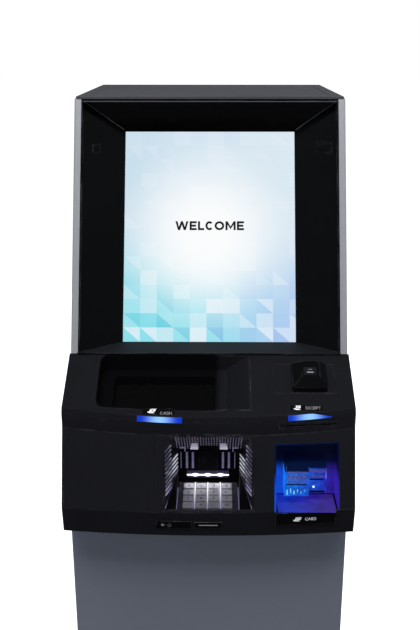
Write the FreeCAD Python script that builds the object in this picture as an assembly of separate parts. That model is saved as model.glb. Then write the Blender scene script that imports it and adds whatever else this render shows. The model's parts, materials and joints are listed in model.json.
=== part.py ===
import FreeCAD, Part
import math
import os
from FreeCAD import Vector

# Lobby cash machine (ATM), millimetres. +X is the user's right, +Y the rear, +Z up.
# The origin is at floor level, in the middle of the overall footprint.

# ---------------------------------------------------------------- overall sizes
HEIGHT = 1450.0            # floor to the top of the top cover
CABINET_WIDTH = 467.0      # over the two side panels
CONSOLE_PROUD = 1.5        # how far the console stands out of each side of the cabinet
REAR_Y = 345.5             # rear face
FAR = 600.0                # reach of the cutting shapes, past the whole machine
SHEET = 2.0                # sheet steel of the cabinet
FIT = 0.3                  # gap between neighbouring pieces that don't slide on each other
RUN = 0.06                 # radial running clearance of a pin in its bore

# ---------------------------------------------------------------- plinth and feet
PLINTH_HEIGHT = 60.0
PLINTH_SIDE_INSET = 7.0
PLINTH_FRONT_Y = -250.0
PLINTH_SKIRT = 6.0
PLINTH_TOP = 6.0
ANCHOR_R = 8.0
ANCHOR_X = 300.0
ANCHOR_Y = 320.0
ANCHOR_CENTRE_Y = -15.0
FOOT_STUD_R = 8.0
FOOT_PAD_R = 20.0
FOOT_PAD_HEIGHT = 8.0
FOOT_GROUND_GAP = 1.0
FOOT_BLOCK_HEIGHT = 30.0
FOOT_INSET = 24.0

# ---------------------------------------------------------------- cabinet
RETURN = 12.0              # width of the side panels' folded edges, seen beside the display
RETURN_EDGE_R = 4.0
DOOR_FRONT_Y = -269.5
DOOR_THICK = 25.0
DOOR_BOTTOM = 62.0
DOOR_CONSOLE_GAP = 4.0
DOOR_EDGE_R = 2.5
DOOR_RIM = 20.0            # depth of the pan's folded border
DOOR_REVEAL = 4.0          # between the door's rear edge and the side panels
HINGE_R = 6.0
HINGE_PIN_R = 3.0
HINGE_PROUD = 1.5          # how far the hinge barrel stands out of the cabinet's side
HINGE_LENGTH = 136.0
HINGE_TOPS = (636.0, 262.0)
HINGE_GAP = 0.5            # between the door's rear face and the barrels
HINGE_PIN_SHORT = 6.0      # pin ends this far under the barrel's top
LOCK_R = 11.0
LOCK_X = -200.0
LOCK_Z = 430.0
LOCK_PROUD = 1.5
LOCK_KEYHOLE = (1.0, 5.0, 5.0)         # half width, half height, depth
LOUVRE_GROUPS = (-170.0, 40.0)         # left end of each group
LOUVRE_WIDTH = 130.0
LOUVRE_BOTTOM_Z = 1180.0
LOUVRE_COUNT = 9
LOUVRE_PITCH = 16.0
LOUVRE_SLOT = 6.0

# ---------------------------------------------------------------- head: surround and display
SCREEN_WIDTH = 301.0       # visible area of a 19 inch 5:4 display, standing upright
SCREEN_HEIGHT = 376.3
SCREEN_LEAN = 24.2         # degrees back from upright
SCREEN_Y = -135.5          # bottom edge of the screen
SCREEN_Z = 1043.0
HEAD_LEAN = 22.3           # degrees, front edge of the side panels beside the display
HEAD_FRONT_Y = -186.7      # bottom of that edge
SURROUND_WALL = 2.5
SURROUND_TOP_DROP = 6.0    # top front edge below the top cover's upper face
LEDGE_LIP = 5.3            # ledge in front of the side panels' edge
GLASS = 4.0
GLASS_MARGIN = 7.0
DISPLAY_THICK = 32.0
DISPLAY_MARGIN = 14.0
DISPLAY_SKIN = 14.0        # thickness of the module beside its electronics box
DISPLAY_RAILS = (20.0, 346.3)          # heights of the mounting rails, up the screen
SPEAKER_ALONG = 24.0       # from the surround's front edge, inwards along its side wall
SPEAKER_HEIGHT = 352.0     # up the wall from the screen's foot
SPEAKER_SLOTS = 5
SPEAKER_SLOT_PITCH = 4.6
SPEAKER_SLOT_LENGTH = 30.0
SPEAKER_SLOT = 1.8
SPEAKER_BOX = (30.0, 34.0, 16.0)       # along the wall, up the wall, depth
CAMERA_ALONG = 26.0
CAMERA_HEIGHT = 350.0
CAMERA_SIZE = 14.0
CAMERA_DEPTH = 8.0
COLLAR_RUN = 40.0          # the hollow's collar is cut this far in front of the screen's plane
TOP_THICK = 4.0
TOP_OVERHANG = 1.0         # top cover in front of the side panels' leaning edge
TOP_CORNER_R = 3.0
TOP_EDGE_R = 1.2
TOP_SIDE_INSET = 2.5
TOP_GROOVE_INSET = 22.0
TOP_GROOVE = 1.5

# ---------------------------------------------------------------- console
DECK_SLOPE = 55.0 / 98.0   # fall of the sloping top, per millimetre forward
DECK_REAR_Y = -187.0
DECK_REAR_Z = 1040.7
APRON_Y = -305.5           # centre of the upright apron
APRON_BULGE = 16.5         # how far the centre stands forward of the ends
CREASE_Z = 948.0           # apron meets the front panel, at the centre
PANEL_LEAN = 0.342         # panel runs forward going down, per millimetre
PANEL_BULGE = 14.0
PANEL_BOTTOM_Z = 831.0
BAND_BOTTOM_Z = 786.0
BAND_LEAN = 6.0 / 45.0     # bottom band runs back going down
LIP_ON_DECK = 6.3
LIP_ON_APRON = 5.0
UNDER_DECK_Z = 900.0       # cutters of the deck start here, clear of the console's floor
CONSOLE_WALL = 4.0
PLATE = 4.0                # front panel plates
PLATE_BACKING = 3.0
PLATE_LAND = 2.0           # moulding left between the crease and the plates
CHEEK = 3.3                # console side wall
SEAM_X = -86.0

# ---------------------------------------------------------------- cash tray
TRAY_LEFT = -180.0
TRAY_RIGHT = 66.0
TRAY_REAR_Y = -191.0
TRAY_EDGE_BAND = 18.0      # deck left in front of the tray
TRAY_CORNER_R = 14.0
TRAY_DEPTH = 26.0
TRAY_WALL = 2.5
SCOOP_FOOT_X = 29.0        # finger scoop climbs from here to the tray's right edge
PIT_LEFT = -157.0
PIT_RIGHT = 11.0
PIT_REAR_Y = -203.0
PIT_FRONT_Y = -274.0
SHUTTER_DEPTH = 40.0
SHUTTER = 3.0
SHUTTER_TUCK = 1.0         # shutter's edges run this far into the pit's walls
SHUTTER_POCKET = 20.0      # slot behind the pit that takes the opening shutter
PIT_CORNER_R = 6.0
PIT_UNDER = 6.0            # pit is open this far below its rails
RAIL = 3.0

# ---------------------------------------------------------------- lights, slot, reader
CASH_LIGHT = (-113.0, -42.0)
RECEIPT_LIGHT = (126.6, 195.5)
LIGHT_TOP = 0.8            # below the deck plane
LIGHT_BOTTOM = 6.6
SLOT = (116.0, 205.0)
SLOT_Z = 962.0
SLOT_HEIGHT = 2.4
BEZEL_MARGIN = 4.0
READER_FRAME = (107.5, 206.5, -259.0, -207.0)
READER_FRAME_THICK = 2.0
READER_BASE = (136.0, 193.5, -257.0, -212.0)
READER_TOP = (153.5, 180.5, -243.0, -214.0)
READER_SKIRT = 7.0
READER_RISE = 14.0

# ---------------------------------------------------------------- keypad bay
KEY_WIDTH = 17.6
KEY_DEPTH = 14.4
KEY_SPACE_X = 3.4          # metal left between the keys
KEY_SPACE_Y = 3.6
KEYPAD_CENTRE_X = -1.0
KEYPAD_BORDER = 7.0        # beside the outer keys
KEYPAD_APRON = 8.8         # in front of the first row
KEYPAD_HEEL = 7.8          # behind the last row
BAY_GAP = 3.0              # between the keypad and the foot of the bay's rear wall
BAY_FLARE = 18.5           # how much wider the bay is at its mouth, each side
BAY_MOUTH_X = 0.5
BAY_FRONT_TOP = 980.0
BAY_BACK_TOP = 885.0
BAY_CORNER_R = 7.0
BAY_FRONT_Y = -346.0
BAY_BACK_Y = -235.0
BAY_SILL_Z = 833.0
BAY_FLOOR_Z = 814.0
BAY_WALL = 2.5
HOOD = (-16.0, 14.0, -262.0)
HOOD_BOTTOM_Z = 861.0
KEYPAD_TILT = 4.5          # degrees, rising to the rear
KEYPAD_FRONT_Z = 824.5
KEY_PROUD = 3.6
KEY_BODY = 7.6
KEY_TRAVEL = 2.0
KEY_GAP = 0.4
KEY_CORNER_R = 1.6
KEY_FIRST_Y = -317.0
KEYS_CENTRE_X = -1.5
KEY_NAMES = (("blank_left", "0", "blank_right", "enter"), ("7", "8", "9", "help"),
             ("4", "5", "6", "clear"), ("1", "2", "3", "cancel"))
WELL_SPARE = 0.5           # left under a key that is pressed right down
KEY_RIM_R = 0.8
LAMP = (-37.0, 34.0, 836.0, 847.0)
LAMP_THICK = 5.0

# ---------------------------------------------------------------- card bay
CARD_BAY = (108.0, 207.0, 831.0, 931.0)
CARD_BAY_BACK_Y = -283.0
CARD_BAY_WALL = 2.5
CARD_SLOT_Z = 870.0
CARD_SLOT_HEIGHT = 5.0
CARD_SLOT = (128.0, 184.0)
BEZEL_Z = (846.0, 892.0)
BEZEL_LEFT = (122.0, 161.0, -321.0)
BEZEL_RIGHT = (161.0, 190.0, -309.0)
SHELF = (107.0, 204.0, 828.2, 830.7)
SHELF_FRONT_BOTTOM_Z = 807.0
SHELF_PROUD = 2.5

# ---------------------------------------------------------------- plates on the band
PLATE_PROUD = 1.8
HEADSET = (-83.0, -26.0, 801.0, 815.0)
NAME = (-22.0, 22.0, 802.0, 814.0)
JACK_R = 1.8
JACK_X = -70.0

# ---------------------------------------------------------------- safe
SAFE = (200.0, -212.0, 180.0, 620.0)   # half width, front, rear, top
SAFE_WALL = 8.0
SAFE_FRAME = 20.0
SAFE_DOOR_THICK = 10.0
SAFE_DOOR_INSET = 6.0
SAFE_HINGE_R = 6.0
SAFE_PIN_R = 3.5
SAFE_HINGE_LENGTH = 70.0
SAFE_HINGE_BOTTOMS = (120.0, 490.0)
BOLT_R = 8.0
BOLT_LENGTH = 60.0
BOLT_HEIGHTS = (170.0, 340.0, 510.0)
BOLT_BACK_GAP = 1.0        # bolts run this far behind the safe's front frame
HANDLE_X = -110.0
HANDLE_Z = 360.0
HANDLE_SPINDLE_R = 7.0
HANDLE_LENGTH = 95.0
HANDLE_THICK = 9.0
CASSETTE = (110.0, -190.0, 140.0, 104.0)   # half width, front, rear, height
CASSETTE_PITCH = 112.0
CASSETTE_COUNT = 4
CASSETTE_WALL = 4.0

CASSETTE_LIFT = 6.0        # under the lowest cassette
CASSETTE_GRIP = (40.0, 18.0, 35.0, 70.0)   # half width, depth, bottom, top

# ---------------------------------------------------------------- modules behind the console
SHELF_Z = 705.0
SHELF_SHEET = 3.0
SHELF_LIP = 22.0
TRANSPORT = (-140.0, 0.0, -205.0, -128.0)
TRANSPORT_TOP = 968.0
COMPUTER = (-200.0, -50.0, 90.0, 320.0, 900.0)
PRINTER = (106.0, 215.0, -275.0, -110.0, 905.0, 975.0)
ROLL_R = 38.0
ROLL_CORE_R = 6.0
ROLL_WIDTH = 80.0
ROLL_GAP = 8.0             # between the roll and the printer's mechanism
ROLL_Z = 945.0
CARD_READER = (118.0, 194.0, -280.0, -105.0, 848.0, 897.0)
INLET = (135.0, 185.0, 100.0, 132.0)
INLET_DEPTH = 22.0
INLET_SOCKET = (13.0, 9.0)             # half width and half height
INLET_BLADES = ((-7.0, -2.0), (0.0, 2.0), (7.0, -2.0))
INLET_FLANGE = 1.2


# ================================================================ helpers
def save(name, shape):
    """Write one named piece as its own STEP file."""
    shape.exportStep("parts/" + name + ".step")
    print(name, len(shape.Solids), round(shape.Volume / 1000.0, 1), shape.isValid())


def box(x0, x1, y0, y1, z0, z1):
    """Box between two corners."""
    return Part.makeBox(x1 - x0, y1 - y0, z1 - z0, Vector(x0, y0, z0))


def bar_x(points, x0, x1):
    """Solid with a Y-Z outline, running along X."""
    ring = [Vector(x0, y, z) for y, z in points]
    return Part.Face(Part.makePolygon(ring + ring[:1])).extrude(Vector(x1 - x0, 0, 0))


def bar_along(points, y, run):
    """Solid with an X-Z outline at one Y, running along a given vector."""
    ring = [Vector(x, y, z) for x, z in points]
    return Part.Face(Part.makePolygon(ring + ring[:1])).extrude(run)


def rod(centre, axis, radius, length):
    """Cylinder from a centre point along an axis."""
    return Part.makeCylinder(radius, length, centre, axis)


def rounded_plan(x0, x1, y0, y1, radius, z0, z1):
    """Upright block with its four vertical edges rounded."""
    block = box(x0, x1, y0, y1, z0, z1)
    upright = [e for e in block.Edges if abs(e.BoundBox.ZLength - (z1 - z0)) < 1e-6]
    return block.makeFillet(radius, upright)


def frustum(front, back):
    """Straight-sided solid between two four-cornered rings."""
    corners = [[Vector(*p) for p in ring] for ring in (front, back)]
    faces = [Part.Face(Part.makePolygon(ring + ring[:1])) for ring in corners]
    for i in range(4):
        j = (i + 1) % 4
        side = [corners[0][i], corners[0][j], corners[1][j], corners[1][i]]
        faces.append(Part.Face(Part.makePolygon(side + side[:1])))
    return Part.makeSolid(Part.makeShell(faces))


def case(x0, x1, y0, y1, z0, z1, wall, slots):
    """Sheet metal case with a row of upright cooling slots in its rear."""
    hollow = box(x0 + wall, x1 - wall, y0 + wall, y1 - wall, z0 + wall, z1 - wall)
    body = box(x0, x1, y0, y1, z0, z1).cut(hollow)
    pitch = (x1 - x0) / (slots + 1)
    for i in range(slots):
        x = x0 + pitch * (i + 1)
        body = body.cut(box(x - pitch / 4, x + pitch / 4, y1 - 2 * wall, y1 + wall,
                            z0 + 4 * wall, z1 - 4 * wall))
    return body


# ================================================================ derived places
HALF_CABINET = CABINET_WIDTH / 2
HALF_CONSOLE = HALF_CABINET + CONSOLE_PROUD
DOOR_REAR_Y = DOOR_FRONT_Y + DOOR_THICK
DOOR_TOP = BAND_BOTTOM_Z - DOOR_CONSOLE_GAP
SIDE_FRONT_Y = DOOR_REAR_Y + DOOR_REVEAL
HINGE_X = HALF_CABINET + HINGE_PROUD - HINGE_R
HINGE_Y = DOOR_REAR_Y + HINGE_R + HINGE_GAP
TOP_UNDER = HEIGHT - TOP_THICK
HEAD_TAN = math.tan(math.radians(HEAD_LEAN))
SURROUND_TOP = HEIGHT - SURROUND_TOP_DROP
SCREEN_SIN = math.sin(math.radians(SCREEN_LEAN))
SCREEN_COS = math.cos(math.radians(SCREEN_LEAN))
SLOPE_RUN = Vector(0, 1, DECK_SLOPE)
KEY_PITCH_X = KEY_WIDTH + KEY_SPACE_X
KEY_PITCH_Y = KEY_DEPTH + KEY_SPACE_Y
KEYPAD_HALF = 2 * KEY_PITCH_X + KEYPAD_BORDER
KEYPAD_FRONT_Y = KEY_FIRST_Y - KEY_DEPTH / 2 - KEYPAD_APRON
KEYPAD_REAR_Y = KEY_FIRST_Y + 3 * KEY_PITCH_Y + KEY_DEPTH / 2 + KEYPAD_HEEL
BAY_BACK_HALF = KEYPAD_HALF + BAY_GAP
BAY_FRONT_HALF = BAY_BACK_HALF + BAY_FLARE
ROLL_Y = PRINTER[3] + ROLL_GAP + ROLL_R


def deck_z(y):
    """Height of the console's sloping top at a given Y."""
    return DECK_REAR_Z + DECK_SLOPE * (y - DECK_REAR_Y)


def head_y(z):
    """Y of the side panels' leaning front edge at a given height."""
    return HEAD_FRONT_Y + (z - DECK_REAR_Z) * HEAD_TAN


def above_deck(depth, x0, x1, y0, y1):
    """Everything higher than a plane that lies a given depth under the sloping top."""
    high = HEIGHT
    return bar_x([(y0, deck_z(y0) - depth), (y1, deck_z(y1) - depth), (y1, high), (y0, high)], x0, x1)


def deck_slab(top, bottom, x0, x1, y0, y1):
    """Slab that follows the sloping top, between two depths under it."""
    return bar_x([(y0, deck_z(y0) - top), (y1, deck_z(y1) - top),
                  (y1, deck_z(y1) - bottom), (y0, deck_z(y0) - bottom)], x0, x1)


# ================================================================ console surfaces
def bowed_block(centre_y, bulge, z, run, half, rear_y):
    """Block whose front bows forward, swept from height z along a run vector."""
    left = Vector(-half, centre_y + bulge, z)
    middle = Vector(0, centre_y, z)
    right = Vector(half, centre_y + bulge, z)
    edges = [Part.Arc(left, middle, right).toShape(),
             Part.LineSegment(right, Vector(half, rear_y, z)).toShape(),
             Part.LineSegment(Vector(half, rear_y, z), Vector(-half, rear_y, z)).toShape(),
             Part.LineSegment(Vector(-half, rear_y, z), left).toShape()]
    return Part.Face(Part.Wire(edges)).extrude(run)


PANEL_FOOT_Y = APRON_Y - (CREASE_Z - PANEL_BOTTOM_Z) * PANEL_LEAN


def apron_block(back, half):
    """Everything behind the upright apron."""
    run = Vector(0, 0, HEIGHT - BAND_BOTTOM_Z)
    return bowed_block(APRON_Y + back, APRON_BULGE, BAND_BOTTOM_Z, run, half, DECK_REAR_Y + 60)


def panel_block(back, half):
    """Everything behind the leaning front panel, down to the bottom band."""
    rise = 150.0
    run = Vector(0, PANEL_LEAN * rise, rise)
    return bowed_block(PANEL_FOOT_Y + back, PANEL_BULGE, PANEL_BOTTOM_Z, run, half, DECK_REAR_Y + 60)


def band_block(back, half):
    """Everything behind the bottom band."""
    fall = PANEL_BOTTOM_Z - BAND_BOTTOM_Z
    run = Vector(0, BAND_LEAN * fall, -fall)
    return bowed_block(PANEL_FOOT_Y + back, PANEL_BULGE, PANEL_BOTTOM_Z, run, half, DECK_REAR_Y + 60)


def console_body(front_in, panel_in, half, top_in, bottom, rear):
    """Console as a filled body, with its faces moved in by given amounts."""
    block = apron_block(front_in, half).cut(box(-FAR, FAR, -FAR, FAR, 0, PANEL_BOTTOM_Z))
    block = block.fuse(panel_block(panel_in, half)).fuse(band_block(panel_in, half)).removeSplitter()
    block = block.cut(above_deck(top_in, -FAR, FAR, -FAR, 100))
    return block.common(box(-FAR, FAR, -FAR, rear, bottom, HEIGHT))


def console_solid():
    """Outer form of the console with its chamfered lip."""
    body = console_body(0.0, 0.0, HALF_CONSOLE, 0.0, BAND_BOTTOM_Z, DECK_REAR_Y)
    lip_z = deck_z(APRON_Y)
    lip = [e for e in body.Edges
           if e.BoundBox.XLength > 2 * HALF_CONSOLE - 5 and abs(e.BoundBox.ZMin - lip_z) < 0.5]
    return body.makeChamfer(LIP_ON_APRON, LIP_ON_DECK, lip)


OUTER = console_solid()


def below_crease(drop):
    """Everything lower than the sloping plane of the crease, moved down by a drop."""
    rise = (APRON_BULGE - PANEL_BULGE) / PANEL_LEAN / APRON_BULGE
    y0 = APRON_Y - 200
    y1 = APRON_Y + 200
    return bar_x([(y0, CREASE_Z - drop - 200 * rise), (y1, CREASE_Z - drop + 200 * rise), (y1, 0), (y0, 0)],
                 -FAR, FAR)


def panel_slab(x0, x1, bottom, thick, drop):
    """Leaning slab behind the front panel's face, between the bottom band and the crease."""
    slab = panel_block(0.0, HALF_CONSOLE).cut(panel_block(thick, HALF_CONSOLE))
    return slab.common(box(x0, x1, -FAR, 0, bottom, HEIGHT)).common(below_crease(drop))


def panel_pocket():
    """Space in the moulding for the two plates of the front panel."""
    half = HALF_CONSOLE - CHEEK
    return panel_slab(-half, half, PANEL_BOTTOM_Z, PLATE + FIT, PLATE_LAND)


def panel_plate(x0, x1):
    """Plate of the front panel, just clear of its pocket."""
    return panel_slab(x0, x1, PANEL_BOTTOM_Z + FIT, PLATE, PLATE_LAND + FIT)


def lip_light(x0, x1):
    """Light bar let into the chamfered lip."""
    skin = OUTER.cut(console_body(CONSOLE_WALL, CONSOLE_WALL, HALF_CONSOLE, CONSOLE_WALL,
                                  BAND_BOTTOM_Z, DECK_REAR_Y))
    stripe = deck_slab(LIGHT_TOP, LIGHT_BOTTOM, x0, x1, APRON_Y - 10, APRON_Y + 12)
    keep = box(x0, x1, APRON_Y - 10, APRON_Y + APRON_BULGE, UNDER_DECK_Z, HEIGHT)
    near = apron_block(-5, HALF_CONSOLE).cut(apron_block(LIP_ON_DECK + 2, HALF_CONSOLE))
    return skin.common(stripe).common(keep).common(near)


# ================================================================ cash tray
def tray_plan(grow):
    """Upright block over the tray's outline, whose front edge follows the bowed apron."""
    block = rounded_plan(TRAY_LEFT - grow, TRAY_RIGHT + grow + TRAY_CORNER_R, APRON_Y - 30,
                         TRAY_REAR_Y + grow, TRAY_CORNER_R, UNDER_DECK_Z, HEIGHT)
    front = apron_block(TRAY_EDGE_BAND - grow, HALF_CONSOLE + 50)
    block = block.common(front).common(box(-FAR, TRAY_RIGHT + grow, -FAR, 0, UNDER_DECK_Z, HEIGHT))
    upright = [e for e in block.Edges if e.BoundBox.XMax < TRAY_LEFT + 5 and e.BoundBox.ZLength > 50
               and e.BoundBox.XLength < 0.01 and e.BoundBox.YMax < -230]
    return block.makeFillet(TRAY_CORNER_R, upright[:1])


def tray_hollow():
    """The tray's inside: a shelf, a finger scoop climbing to the right, and the pit."""
    plan = tray_plan(0.0)
    shelf = plan.common(above_deck(TRAY_DEPTH, -FAR, SCOOP_FOOT_X, -FAR, 0))
    y = APRON_Y - 20
    ramp = bar_along([(SCOOP_FOOT_X, deck_z(y) - TRAY_DEPTH), (TRAY_RIGHT, deck_z(y)),
                      (TRAY_RIGHT, deck_z(y) + 30), (SCOOP_FOOT_X, deck_z(y) + 30)], y, SLOPE_RUN * 200)
    pit = rounded_plan(PIT_LEFT, PIT_RIGHT, PIT_FRONT_Y, PIT_REAR_Y, PIT_CORNER_R, UNDER_DECK_Z, HEIGHT)
    pit = pit.common(above_deck(SHUTTER_DEPTH + RAIL + SHUTTER + PIT_UNDER, -FAR, FAR, -FAR, 0))
    return shelf.fuse(plan.common(ramp)).fuse(pit)


def cash_tray():
    """Moulded cash tray, with a slot for the shutter and rails under it."""
    shell = tray_plan(TRAY_WALL - FIT).common(above_deck(TRAY_DEPTH + TRAY_WALL, -FAR, FAR, -FAR, 0))
    shell = shell.cut(above_deck(0.0, -FAR, FAR, -FAR, 0))
    pit_wall = box(PIT_LEFT - TRAY_WALL, PIT_RIGHT + TRAY_WALL, PIT_FRONT_Y - TRAY_WALL,
                   PIT_REAR_Y + TRAY_WALL, UNDER_DECK_Z, HEIGHT)
    pit_wall = pit_wall.common(above_deck(SHUTTER_DEPTH + SHUTTER + RAIL + FIT, -FAR, FAR, -FAR, 0))
    pit_wall = pit_wall.cut(above_deck(TRAY_DEPTH, -FAR, FAR, -FAR, 0))
    body = shell.fuse(pit_wall).cut(tray_hollow())
    rail_top = SHUTTER_DEPTH + SHUTTER + FIT
    for x0 in (PIT_LEFT - TRAY_WALL / 2, PIT_RIGHT - RAIL):
        body = body.fuse(deck_slab(rail_top, rail_top + RAIL, x0, x0 + RAIL + TRAY_WALL / 2,
                                   PIT_FRONT_Y - TRAY_WALL, PIT_REAR_Y + TRAY_WALL))
    slot = deck_slab(SHUTTER_DEPTH - FIT, SHUTTER_DEPTH + SHUTTER + FIT, PIT_LEFT - SHUTTER_TUCK,
                     PIT_RIGHT + SHUTTER_TUCK, PIT_FRONT_Y - SHUTTER_TUCK, PIT_REAR_Y + SHUTTER_POCKET)
    return body.cut(slot).removeSplitter()


def cash_shutter():
    """Flat sliding shutter that closes the floor of the pit."""
    tuck = SHUTTER_TUCK - FIT
    return deck_slab(SHUTTER_DEPTH, SHUTTER_DEPTH + SHUTTER, PIT_LEFT - tuck, PIT_RIGHT + tuck,
                     PIT_FRONT_Y - tuck, PIT_REAR_Y - SHUTTER_TUCK)


# ================================================================ console mouldings
def reader_seat(grow):
    """Shallow rectangle in the deck that takes the reader's frame."""
    x0, x1, y0, y1 = READER_FRAME
    return deck_slab(-1.0, READER_FRAME_THICK + grow, x0 - grow, x1 + grow, y0 - grow, y1 + grow)


def slot_cutter(margin):
    """Straight run through the apron for the receipt."""
    return box(SLOT[0] - margin, SLOT[1] + margin, -FAR, APRON_Y + 60,
               SLOT_Z - SLOT_HEIGHT / 2 - margin, SLOT_Z + SLOT_HEIGHT / 2 + margin)


def bay_form(grow):
    """Tapered hollow of the keypad bay, grown outwards by a wall."""
    low = BAY_FLOOR_Z - grow
    rings = []
    for x, half, y, top in ((BAY_MOUTH_X, BAY_FRONT_HALF, BAY_FRONT_Y, BAY_FRONT_TOP),
                            (0.0, BAY_BACK_HALF, BAY_BACK_Y + grow, BAY_BACK_TOP)):
        x0 = x - half - grow
        x1 = x + half + grow
        rings.append([(x0, y, low), (x1, y, low), (x1, y, top + grow), (x0, y, top + grow)])
    form = frustum(*rings)
    upper = [e for e in form.Edges if e.BoundBox.ZLength > 50 and e.BoundBox.YLength > 50 and
             min(v.Z for v in e.Vertexes) > BAY_FLOOR_Z + 20]
    return form.makeFillet(BAY_CORNER_R + grow, upper)


def bay_opening(grow):
    """Part of the bay's hollow that shows through the front panel."""
    return bay_form(BAY_WALL + grow).common(box(-FAR, FAR, -FAR, 0, BAY_SILL_Z - grow, HEIGHT))


def card_bay_block(grow):
    """Upright-walled hollow of the card bay."""
    x0, x1, z0, z1 = CARD_BAY
    return rounded_plan_y(x0 - grow, x1 + grow, -FAR, CARD_BAY_BACK_Y + grow, z0, z1 + grow, 3.0)


def rounded_plan_y(x0, x1, y0, y1, z0, z1, radius):
    """Block along Y with its two upper long edges rounded."""
    block = box(x0, x1, y0, y1, z0, z1)
    upper = [e for e in block.Edges
             if abs(e.BoundBox.YLength - (y1 - y0)) < 1e-6 and e.BoundBox.ZMin > z1 - 1e-3]
    return block.makeFillet(radius, upper)


def card_shelf():
    """Shelf under the card bay, with a label face folded down over the bottom band."""
    x0, x1, z0, z1 = SHELF
    proud = panel_block(-SHELF_PROUD, HALF_CONSOLE).fuse(band_block(-SHELF_PROUD, HALF_CONSOLE))
    behind = panel_block(FIT, HALF_CONSOLE).fuse(band_block(FIT - 0.2, HALF_CONSOLE))
    face = proud.cut(band_block(-0.1, HALF_CONSOLE)).common(box(x0, x1, -FAR, 0, SHELF_FRONT_BOTTOM_Z, z1))
    face = face.cut(behind)
    top = proud.common(box(x0, x1, -FAR, CARD_BAY_BACK_Y + CARD_BAY_WALL, z0, z1))
    return top.fuse(face).removeSplitter()


def console_cover():
    """One moulding: sloping top, lip, apron, cheeks, panel backing and bottom band."""
    wall = PLATE + PLATE_BACKING
    inner = console_body(CONSOLE_WALL, wall, HALF_CONSOLE - CHEEK, CONSOLE_WALL,
                         BAND_BOTTOM_Z + PLATE_BACKING, DECK_REAR_Y)
    inner = inner.fuse(box(-HALF_CONSOLE + CHEEK, HALF_CONSOLE - CHEEK, DECK_REAR_Y - 5, DECK_REAR_Y + 5,
                           BAND_BOTTOM_Z + PLATE_BACKING, deck_z(DECK_REAR_Y - 5) - CONSOLE_WALL))
    body = OUTER.cut(inner)
    body = body.cut(panel_pocket())
    body = body.cut(tray_plan(TRAY_WALL))
    body = body.cut(reader_seat(FIT))
    rx0, rx1, ry0, ry1 = READER_BASE
    body = body.cut(box(rx0 - FIT, rx1 + FIT, ry0 - FIT, ry1 + FIT, UNDER_DECK_Z, HEIGHT))
    tx0, tx1, ty0, ty1 = TRANSPORT
    body = body.cut(box(tx0 - 2, tx1 + 2, ty0 - 2, ty1, BAND_BOTTOM_Z - 1, BAND_BOTTOM_Z + PLATE_BACKING + 1))
    for light in (CASH_LIGHT, RECEIPT_LIGHT):
        body = body.cut(lip_light(*light))
    body = body.cut(slot_cutter(BEZEL_MARGIN))
    body = body.cut(bay_opening(FIT))
    body = body.cut(card_bay_block(CARD_BAY_WALL + FIT))
    x0, x1, z0, z1 = SHELF
    body = body.cut(box(x0 - FIT, x1 + FIT, -FAR, -250, z0 - FIT, z1 + 2))
    return body.removeSplitter()


def console_panel():
    """Front plate with the keypad and card openings."""
    plate = panel_plate(SEAM_X + FIT, HALF_CONSOLE - CHEEK - FIT)
    return plate.cut(bay_opening(FIT)).cut(card_bay_block(CARD_BAY_WALL + FIT))


def receipt_bezel():
    """Lining of the receipt slot, flush with the apron."""
    lining = slot_cutter(BEZEL_MARGIN - FIT).cut(slot_cutter(0.0))
    ring = apron_block(0.0, HALF_CONSOLE).cut(apron_block(CONSOLE_WALL + 3.0, HALF_CONSOLE))
    return lining.common(ring)


def reader_frame():
    """Flat frame round the contactless reader, flush with the deck."""
    x0, x1, y0, y1 = READER_FRAME
    bx0, bx1, by0, by1 = READER_BASE
    frame = deck_slab(0.0, READER_FRAME_THICK, x0, x1, y0, y1)
    return frame.cut(box(bx0 - FIT, bx1 + FIT, by0 - FIT, by1 + FIT, UNDER_DECK_Z, HEIGHT))


def reader_block():
    """Raised reader: upright skirt, then bevels up to a small flat top."""
    x0, x1, y0, y1 = READER_BASE
    tx0, tx1, ty0, ty1 = READER_TOP

    def ring(ax0, ax1, ay0, ay1, rise):
        return [(ax0, ay0, deck_z(ay0) + rise), (ax1, ay0, deck_z(ay0) + rise),
                (ax1, ay1, deck_z(ay1) + rise), (ax0, ay1, deck_z(ay1) + rise)]
    skirt = frustum(ring(x0, x1, y0, y1, -12.0), ring(x0, x1, y0, y1, READER_SKIRT))
    crown = frustum(ring(x0, x1, y0, y1, READER_SKIRT), ring(tx0, tx1, ty0, ty1, READER_RISE))
    return skirt.fuse(crown).removeSplitter()


def keypad_bay():
    """Bay liner: flared side walls, sloping ceiling, hooded back, floor."""
    body = bay_form(BAY_WALL).cut(bay_form(0.0))
    x0, x1, y0 = HOOD
    hood = box(x0, x1, y0, BAY_BACK_Y + 1, HOOD_BOTTOM_Z, HEIGHT)
    hood = hood.common(bay_form(1.0))
    body = body.fuse(hood)
    body = body.common(panel_block(0.0, HALF_CONSOLE).fuse(band_block(0.0, HALF_CONSOLE)))
    low = box(-FAR, FAR, -FAR, 0, 0, BAY_SILL_Z)
    wall = PLATE + PLATE_BACKING + FIT
    behind = panel_block(wall, HALF_CONSOLE).fuse(band_block(wall, HALF_CONSOLE))
    low = low.cut(behind)
    return body.cut(low).removeSplitter()


def keypad_plane(y):
    """Height of the keypad body's upper face at a given Y."""
    return KEYPAD_FRONT_Z + (y - KEYPAD_FRONT_Y) * math.tan(math.radians(KEYPAD_TILT))


def key_centres():
    """Name and plan position of each key."""
    for row, names in enumerate(KEY_NAMES):
        for column, name in enumerate(names):
            x = KEYS_CENTRE_X + (column - 1.5) * KEY_PITCH_X
            yield name, x, KEY_FIRST_Y + row * KEY_PITCH_Y


def tilted(shape, x, y):
    """Put a piece made round the origin onto the keypad's tilted face."""
    shape.rotate(Vector(0, 0, 0), Vector(1, 0, 0), KEYPAD_TILT)
    shape.translate(Vector(x, y, keypad_plane(y)))
    return shape


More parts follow.
